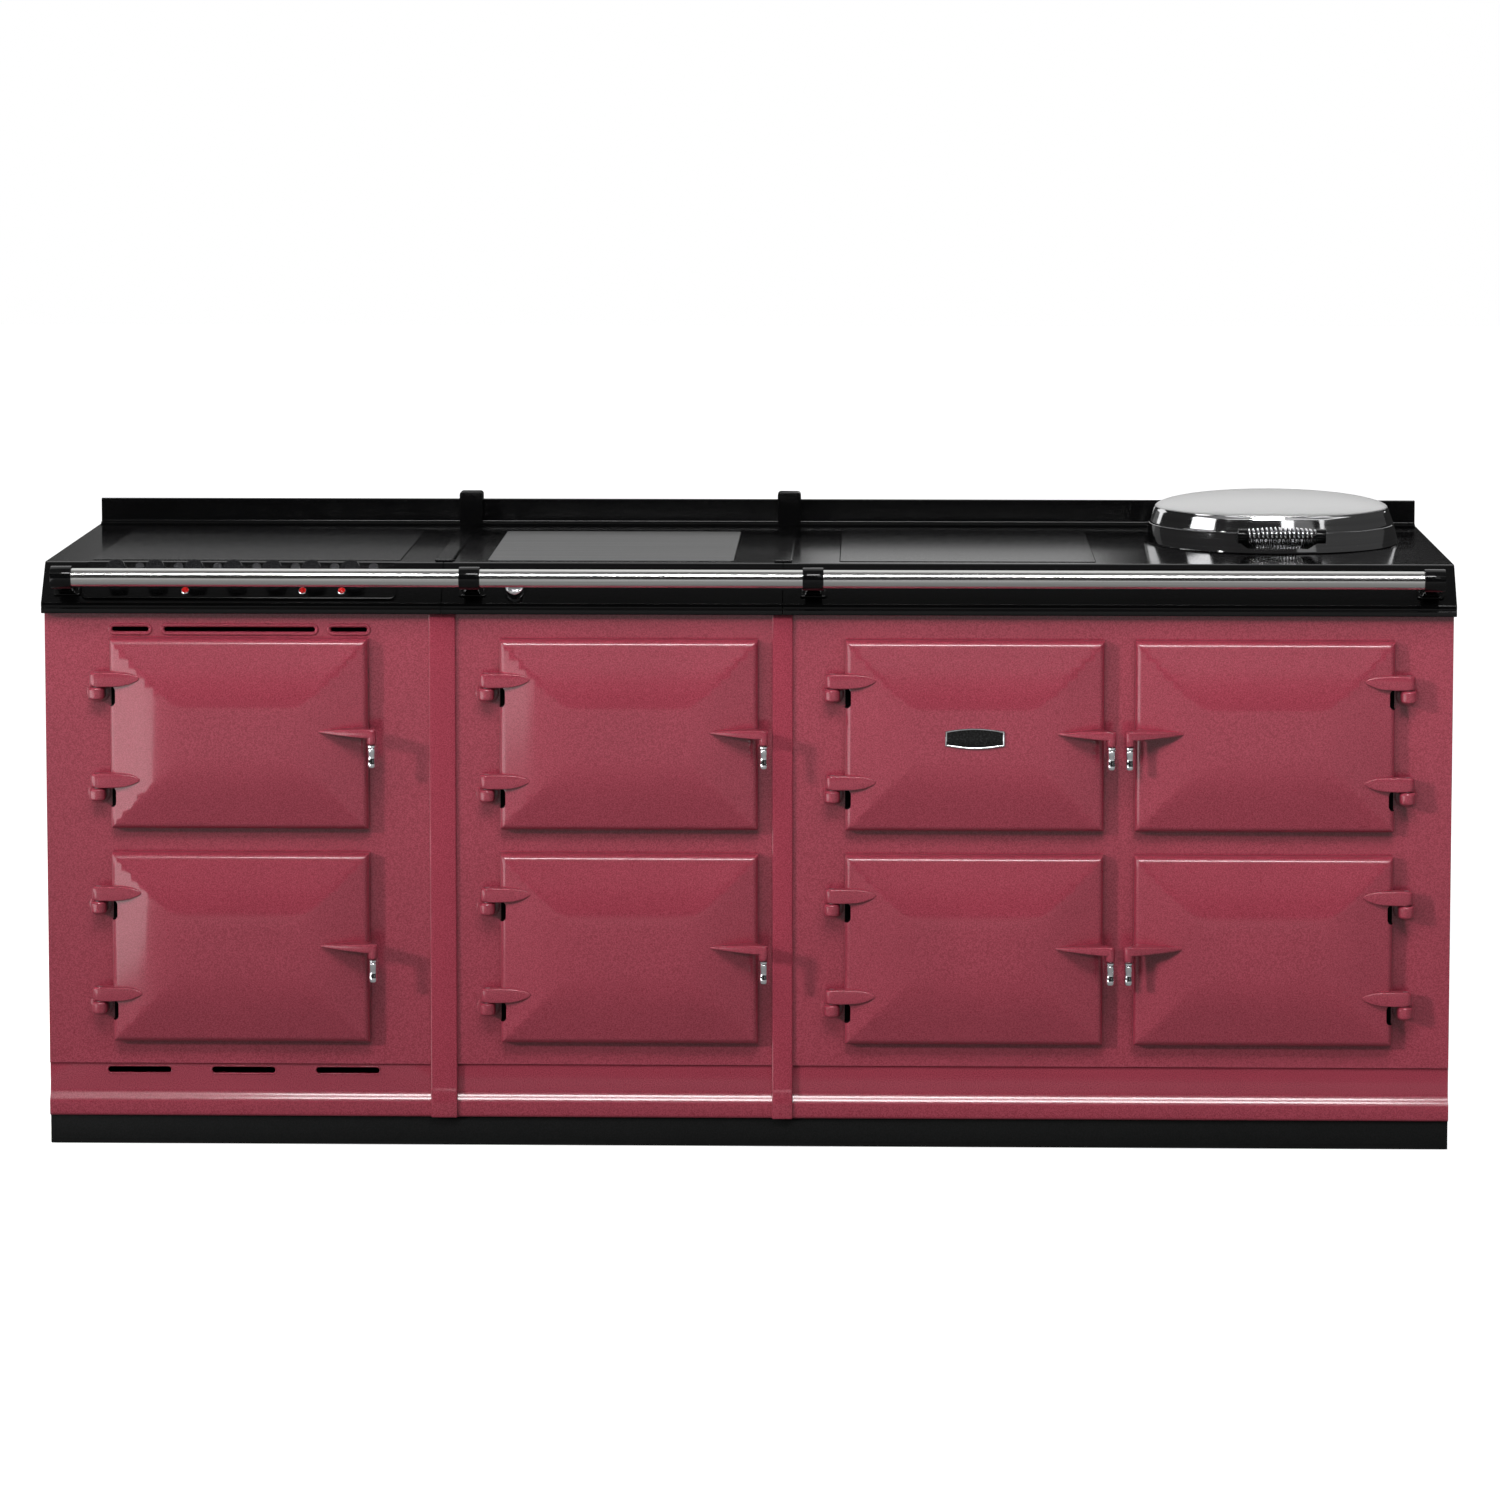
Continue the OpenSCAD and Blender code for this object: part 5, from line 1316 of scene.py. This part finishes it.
panel = {
    "x": -0.758, "width": 0.470, "height": 0.06399, "thick": 0.004, "corner": 0.009, "rim": 0.0035,
    "stand": 0.003, "knobs": [-0.9415 + i * 0.3505 / 6 for i in range(7)], "up": 0.008,
    "disc": (0.032508, 0.021995, 0.0075), "lamp": (0.045462, -0.019995, 0.006), "lamps": (1, 4, 5),
    # share of the radius, and depth below the top
    "discTop": ((0, 0), (0.78, 0), (0.84, 0.0004), (0.88, 0), (0.96, 0.0002), (1, 0.0008)),
    "lampTop": (
        (0, 0), (0.40, 0.0003), (0.60, 0.0010), (0.62, 0.0016), (0.66, 0.0006), (0.85, 0.0004), (1, 0.0014),
    ),
}
timer = {"x": -0.346, "down": 0.015}


def roundedOutline(width, height, radius, steps=6):
    points = []
    for k, (sx, sy) in enumerate(((1, 1), (-1, 1), (-1, -1), (1, -1))):
        for i in range(steps + 1):
            a = pi / 2 * (k + i / steps)
            points.append(
                (sx * (width / 2 - radius) + radius * cos(a), sy * (height / 2 - radius) + radius * sin(a))
            )
    return points


def indicator(name, at, radius, top):
    t, high = panel["thick"], panel["thick"] + panel["stand"]
    profile = [(radius * share, high - down) for share, down in top]
    profile += [(radius, t - 0.001), (radius / 2, t - 0.001), (radius / 2, 0), (0, 0)]
    return turned(name, at, slopeOut, profile, 48)


def nearAxis(c, places, reach):
    # whether a point lies near one of the axes that stand on the slope at these places
    return any((c - p - slopeOut * (c - p).dot(slopeOut)).length < reach for p in places)


def makePanel():
    outline = [
        onSlope(panel["x"] + a, b) for a, b in roundedOutline(panel["width"], panel["height"], panel["corner"])
    ]
    plate = prism("panelPlate", outline, slopeOut * panel["thick"])
    editOn(plate)
    pickFaces(lambda c, n: n.dot(slopeOut) > 0.99)
    bpy.ops.mesh.inset(thickness=panel["rim"], depth=0.0, use_even_offset=True)
    bpy.ops.mesh.inset(thickness=0.0008, depth=-0.0012, use_even_offset=True)
    editOff()
    for x in panel["knobs"]:
        drillSlope(plate, x, panel["up"], -0.01)
    roundEdges(plate, 0.0007, 2, 40)
    dress("panelPlate", [plate], 35, blackEnamel, "control_panel")
    discX, discUp, discRadius = panel["disc"]
    lampX, lampUp, lampRadius = panel["lamp"]
    discAt = [onSlope(x + discX, discUp) for x in panel["knobs"]]
    lampAt = [onSlope(panel["knobs"][i] + lampX, lampUp) for i in panel["lamps"]]
    lights = [indicator("disc", at, discRadius, panel["discTop"]) for at in discAt]
    lights += [indicator("lamp", at, lampRadius, panel["lampTop"]) for at in lampAt]
    lights = dress("panel_indicator_set", lights, 30, chrome, "panel_indicators")

    def isLamp(c, n):
        return nearAxis(c, lampAt, 0.0055) and n.dot(slopeOut) > 0.2 and (c - slopeMid).dot(slopeOut) > 0.004

    def isDisc(c, n):
        return nearAxis(c, discAt, 0.0071) and n.dot(slopeOut) > 0.5 and (c - slopeMid).dot(slopeOut) > 0.005
    paintPart(lights, lampRed, isLamp)
    paintPart(lights, discFace, isDisc)
    print("control panel made")


knobs = {
    "gap": 0.0005, "capFrom": 0.004, "spindle": [(0.0029, 0.0), (0.0029, -0.022), (0, -0.022)],
    "knob": [
        (0, 0.0240), (0.0100, 0.0240), (0.0118, 0.0236), (0.0134, 0.0230), (0.0142, 0.0218), (0.0146, 0.0200),
        (0.0150, 0.0150), (0.0158, 0.0090), (0.0164, 0.0052), (0.0168, 0.0042), (0.0180, 0.0039),
        (0.0188, 0.0030), (0.0190, 0.0018), (0.0190, 0.0003), (0.0187, 0.0),
    ],
    "timer": [
        (0, 0.0150), (0.0060, 0.0150), (0.0095, 0.0148), (0.0100, 0.0140), (0.0108, 0.0136), (0.0116, 0.0140),
        (0.0122, 0.0152), (0.0134, 0.0160), (0.0146, 0.0156), (0.0153, 0.0144), (0.0155, 0.0120),
        (0.0155, 0.0010), (0.0150, 0.0),
    ],
}


def makeKnob(name, x, up, out, head):
    knob = turned(f"{name}_turning", onSlope(x, up, out), slopeOut, head + knobs["spindle"], 64)
    return dress(knob.name, [knob], 30, chrome, name, name)


def makeKnobs():
    gap = panel["thick"] + knobs["gap"]
    for i, x in enumerate(panel["knobs"]):
        knob = makeKnob(f"knob_{i + 1}", x, panel["up"], gap, knobs["knob"])
        at = onSlope(x, panel["up"])
        paintPart(knob, knobBlack, lambda c, n: (c - at).dot(slopeOut) > gap + knobs["capFrom"])
    makeKnob("timer_knob", timer["x"], -timer["down"], knobs["gap"], knobs["timer"])
    print("knobs made")


# ---- hob surfaces

hotplate = [
    (0, 0.007), (0.168, 0.007), (0.1735, 0.0062), (0.1755, 0.0045), (0.176, 0.002), (0.176, -0.0088),
    (0.185, -0.009), (0.185, -0.017), (0.176, -0.017), (0.176, -0.019), (0, -0.019),
]


def hobSheet(name, module, radius=0.005):
    left, width, deep = crown["hobs"][module]
    x, y = left + width / 2, crown["hobFront"] + deep / 2
    z = body["hob"] + crown["sheetUp"] - crown["sheet"]
    sheet = prism(
        name, [(x + a, y + b, z) for a, b in roundedOutline(width, deep, radius)], (0, 0, crown["sheet"]),
    )
    return roundEdges(sheet, 0.0008, 3, 60)


def makeHobs():
    glass = [hobSheet("ceramic", "left"), hobSheet("induction", "right")]
    dress("glass_hob_sheets", glass, 35, hobGlass, "glass_hobs", flat=True)
    warm = hobSheet("warm", "middle")
    dress("warming_plate_sheet", [warm], 35, warmSteel, "warming_plate", flat=True)
    plate = turned("hotplate", lidCentre, (0, 0, 1), hotplate, 128)
    dress("hotplate_casting", [plate], 30, hotIron, "hotplate")
    print("hobs made")


# ---- lid of the hotplate

lid = {
    "at": Vector(lidCentre), "radius": 0.197, "seamRadius": 0.189, "shoulderRadius": 0.180, "seam": 0.031,
    "shoulder": 0.054, "crown": 0.078, "wall": 0.003, "ring": 0.015, "lining": 0.008, "gap": 0.0003,
    "band": [
        (0.1810, 0.0526), (0.1819, 0.0508), (0.1822, 0.0500), (0.1884, 0.0336), (0.1889, 0.0322),
        (0.1888, 0.031), (0.1860, 0.031),
    ],
    "pin": (0.804, 0.3105, 0.898), "barrel": 0.008, "barrelWidth": 0.080, "earWide": 0.014,
    "handleY": -0.229, "handleZ": 0.031, "coil": 0.104, "coilMid": 0.0125, "coilEnd": 0.009, "coilMean": 0.011,
    "coilReach": 0.052, "wire": 0.0016, "turns": 15, "post": (0.014, 0.022), "core": 0.0045,
    "washer": [(0, 0.0022), (0.0050, 0.0022), (0.0062, 0.0016), (0.0066, 0.0), (0.0066, -0.001), (0, -0.001)],
}


def domeCurve(radius, low, steps=28):
    # the dome's section from its middle to its shoulder
    rise = lid["crown"] - lid["shoulder"]
    return [(radius * sin(pi / 2 * i / steps), low + rise * cos(pi / 2 * i / steps)) for i in range(steps + 1)]


def makeDome():
    t = lid["wall"]
    outer = domeCurve(lid["shoulderRadius"], lid["shoulder"])
    inner = domeCurve(lid["shoulderRadius"] - t, lid["shoulder"] - t)
    dome = turned("dome", lid["at"], (0, 0, 1), outer + lid["band"] + inner[::-1], 128)
    dress("lid_dome_pressing", [dome], 30, domeSteel, "lid_dome", "lid")
    paintPart(dome, bandSteel, lambda c, n: c.z < lid["at"].z + lid["shoulder"] + 0.002)
    print("dome made")


def makeLidRing():
    at, seam, gap = lid["at"], lid["seam"], lid["gap"]
    r, s = lid["radius"], lid["seamRadius"]
    hole, under = r - lid["ring"], seam - lid["lining"]
    profile = [
        (0, under), (hole, under), (hole, gap), (r - 0.001, gap), (r, gap + 0.0012), (r - 0.0002, 0.0040),
        (s + 0.0010, seam - 0.0040), (s + 0.0002, seam - 0.0008), (s - 0.001, seam), (0, seam),
    ]
    rim = turned("lidRing", at, (0, 0, 1), profile, 128)
    _, y, z = lid["pin"]
    w = lid["barrelWidth"]
    reach = y - at.y - s + lid["ring"] / 2
    barrel = tongue("barrel", (at.x - w / 2, y, z), (0, 1, 0), (0, 0, 1), lid["barrel"], reach, (w, 0, 0))
    roundEdges(barrel, 0.0012, 2, 50)
    drill(barrel, (at.x - 0.1, y, z), (at.x + 0.1, y, z), body["pinHole"])
    dress("lid_ring_turning", [rim, barrel], 30, bandSteel, "lid_ring", "lid")
    print("lid ring made")


def coilRadius(x):
    return lid["coilEnd"] + (lid["coilMid"] - lid["coilEnd"]) * sin(pi * (x / lid["coil"] + 0.5))


def makeCoil(at):
    length, mean, reach = lid["coil"] - 0.004, lid["coilMean"], lid["coilReach"]
    bpy.ops.object.select_all(action="DESELECT")
    bpy.ops.mesh.primitive_circle_add(
        vertices=10, radius=lid["wire"], fill_type="NOTHING", location=(0, 0, mean), rotation=(pi / 2, 0, 0),
    )
    wire = settle(bpy.context.object, "coilWire")
    useModifier(
        wire, "SCREW", axis="X", angle=2 * pi, screw_offset=length / lid["turns"], iterations=lid["turns"],
        steps=24, render_steps=24, use_merge_vertices=False, use_smooth_shade=True,
    )
    editOn(wire)
    bpy.ops.mesh.select_mode(type="EDGE")
    bpy.ops.mesh.select_all(action="DESELECT")
    bpy.ops.mesh.select_non_manifold()
    bpy.ops.mesh.fill()
    selectAll()
    bpy.ops.mesh.normals_make_consistent(inside=False)
    editOff()

    def swollen(c):
        x = c.x - length / 2
        away = Vector((0, c.y, c.z)).normalized()
        return Vector((x, c.y, c.z)) + away * (coilRadius(max(-reach, min(reach, x))) - mean)
    coil = copyOf(reshape(wire, swollen), "lid_coil_wire", at)
    bpy.data.objects.remove(wire)
    finish(coil, "lid", chrome, "lid_coil")
    print("lid coil made")


def makeLidHandle():
    foot, seam, half = lid["at"], lid["seam"], lid["coil"] / 2
    at = foot + Vector((0, lid["handleY"], lid["handleZ"]))
    makeCoil(at)
    wide, high = lid["post"]
    rearY = -sqrt(lid["radius"] ** 2 - (half + wide) ** 2) + lid["ring"] / 2
    parts = []
    for side in (-1, 1):
        x0 = at.x + side * (half + wide / 2) - wide / 2
        post = block(
            "post", (x0, at.y, at.z - high / 2), (x0 + wide, foot.y + rearY, foot.z + seam - lid["gap"]),
        )
        cutWith(post, rod("nose", (x0, at.y, at.z), (x0 + wide, at.y, at.z), high / 2, 48), "UNION")
        low, top = (*foot.xy, foot.z - 0.001), (*foot.xy, foot.z + seam + 0.001)
        cutWith(post, rod("cone", low, top, lid["radius"] + 0.0004, 96, lid["seamRadius"] - 0.0001))
        parts.append(roundEdges(post, 0.002, 3, 50))
        parts.append(turned("washer", (at.x + side * half, at.y, at.z), (-side, 0, 0), lid["washer"], 32))
    parts.append(
        rod("core", (at.x - half - 0.001, at.y, at.z), (at.x + half + 0.001, at.y, at.z), lid["core"], 32)
    )
    dress("lid_handle_posts", parts, 35, blackEnamel, "lid_handle_frame", "lid")
    print("lid handle made")


# ---- towel rails and brackets

rail = {
    "y": -0.3345, "z": 0.8665, "radius": 0.0135, "brackets": (-1.014, -0.409, 0.099, 1.014), "web": 0.005,
    "sleeve": (0.017, 0.031), "arm": 0.026, "armSpan": (-0.018, 0.009),
    "foot": (0.040, 0.0405, 0.004, -0.00675), "screwAt": (0.0165, -0.010),
    "screw": [(0, 0.0012), (0.0012, 0.0010), (0.0022, 0.0004), (0.0026, -0.0005), (0, -0.0005)],
}


def makeRails():
    y, z, r = rail["y"], rail["z"], rail["radius"]
    bars = []
    for a, b in zip(rail["brackets"], rail["brackets"][1:]):
        long = b - a - rail["web"]
        bars.append(turned(
            "railBar", (a + rail["web"] / 2, y, z), (1, 0, 0), [(0, 0), (r, 0), (r, long), (0, long)], 96,
        ))
    dress("towel_rail_tubes", bars, 30, satinSteel, "towel_rails")
    print("rails made")


def onNose(z):
    # the point of the slope at this height, seen from the side
    return slopeMid.y + (z - slopeMid.z) * tan(crown["tilt"]), z


def makeBrackets():
    y, z = rail["y"], rail["z"]
    r, half = rail["sleeve"][0], rail["sleeve"][1] / 2
    w, h, t, up = rail["foot"]
    screwX, screwUp = rail["screwAt"]
    low, top = [onNose(slopeMid.z + v) for v in rail["armSpan"]]
    side = [(r - 0.0014, half), (r - 0.0004, half - 0.0004), (r, half - 0.0014)]
    profile = [(0, -half)] + [(a, -b) for a, b in side] + side[::-1] + [(0, half)]
    parts = []
    for x in rail["brackets"]:
        sleeve = turned("sleeve", (x, y, z), (1, 0, 0), profile, 64)
        outline = [(y, z + r / 2), (y - r / 2, z - r / 2), low, top]
        arm = sideBar("arm", outline, x - rail["arm"] / 2, rail["arm"])
        roundEdges(arm, 0.003, 3, 40)
        foot = prism("foot", [onSlope(x + a, up + b) for a, b in roundedOutline(w, h, 0.004)], slopeOut * t)
        roundEdges(foot, 0.0012, 3, 50)
        parts += [sleeve, arm, foot]
        for move in (-screwX, screwX):
            parts.append(turned("screw", onSlope(x + move, up + screwUp, t), slopeOut, rail["screw"], 24))
    dress("rail_bracket_castings", parts, 35, blackEnamel, "rail_brackets")
    print("brackets made")


# ---- ovens and hinge pins

oven = {
    "size": (0.310, 0.215, 0.480), "front": 0.012, "wall": 0.004, "runner": (0.008, 0.006, 0.045),
    "inset": 0.002, "bar": 0.006, "rod": 0.002, "rods": 11, "shelfGap": (0.004, 0.007, 0.002),
    "doorPin": 0.0414, "lidPin": 0.109,
}


def atEachDoor(name, model, material, node):
    # one piece of copies of the model, one at each door
    copies = [copyOf(model, "copy", at, mirror) for _, at, mirror in eachDoor()]
    bpy.data.objects.remove(model)
    finish(joinAll(name, copies), "cooker", material, node)


def makeLiners():
    w, h, d = oven["size"]
    t, y0 = oven["wall"], oven["front"]
    shell = block("ovenShell", (-w / 2 - t, y0, -h / 2 - t), (w / 2 + t, y0 + d, h / 2 + t))
    editOn(shell)
    pickFaces(lambda c, n: n.y < -0.5)
    bpy.ops.mesh.inset(thickness=t, depth=0.0)
    bpy.ops.mesh.extrude_region_move(TRANSFORM_OT_translate={"value": (0, d - t, 0)})
    editOff()
    parts = [roundEdges(shell, 0.0012, 2, 50)]
    rw, rh, rz = oven["runner"]
    low, y0, y1 = -h / 2 + rz, y0 + oven["inset"], y0 + d - oven["inset"]
    for x in (-w / 2, w / 2 - rw):
        parts.append(roundEdges(block("runner", (x, y0, low), (x + rw, y1, low + rh)), 0.0015, 3, 50))
    model = smooth(joinAll("linerModel", parts), 35)
    atEachDoor("oven_liner_castings", model, ovenEnamel, "oven_liners")
    print("oven liners made")


def makeShelves():
    w, h, d = oven["size"]
    sideGap, frontGap, rearGap = oven["shelfGap"]
    half, b = (w - sideGap) / 2, oven["bar"]
    y0, y1 = oven["front"] + frontGap, oven["front"] + d - oven["wall"] - rearGap
    z = -h / 2 + oven["runner"][2] + oven["runner"][1]
    bars = [block("bar", (x, y0, z), (x + b, y1, z + b)) for x in (-half, half - b)]
    bars += [block("bar", (-half, y, z), (half, y + b, z + b)) for y in (y0, y1 - b)]
    parts = [roundEdges(bar, 0.002, 3, 50) for bar in bars]
    for i in range(1, oven["rods"] + 1):
        x = -half + i * 2 * half / (oven["rods"] + 1)
        parts.append(rod("shelfRod", (x, y0 + b / 2, z + b / 2), (x, y1 - b / 2, z + b / 2), oven["rod"], 12))
    model = smooth(joinAll("shelfModel", parts), 35)
    atEachDoor("oven_shelf_wires", model, chrome, "oven_shelves")
    print("oven shelves made")


def pinProfile(long):
    return [(0, 0), (0.0036, 0), (0.004, 0.0004), (0.004, long - 0.0004), (0.0036, long), (0, long)]


def makePins():
    pins = []
    x, y = front["pin"]
    for _, at, mirror in eachDoor():
        for up in front["lugs"]:
            pin = turned("pin", (x, y, up), (0, 0, 1), pinProfile(oven["doorPin"]), 24)
            pins.append(copyOf(pin, "pin", at, mirror))
            bpy.data.objects.remove(pin)
    x, y, z = lid["pin"]
    pins.append(turned("pin", (x - oven["lidPin"] / 2, y, z), (1, 0, 0), pinProfile(oven["lidPin"]), 24))
    dress("hinge_pin_set", pins, 35, zincSteel, "hinge_pins")
    print("pins made")


makeCrowns()
makeSplashbacks()
makeJointCovers()
makePanel()
makeKnobs()
makeHobs()
makeDome()
makeLidRing()
makeLidHandle()
makeRails()
makeBrackets()
makeLiners()
makeShelves()
makePins()
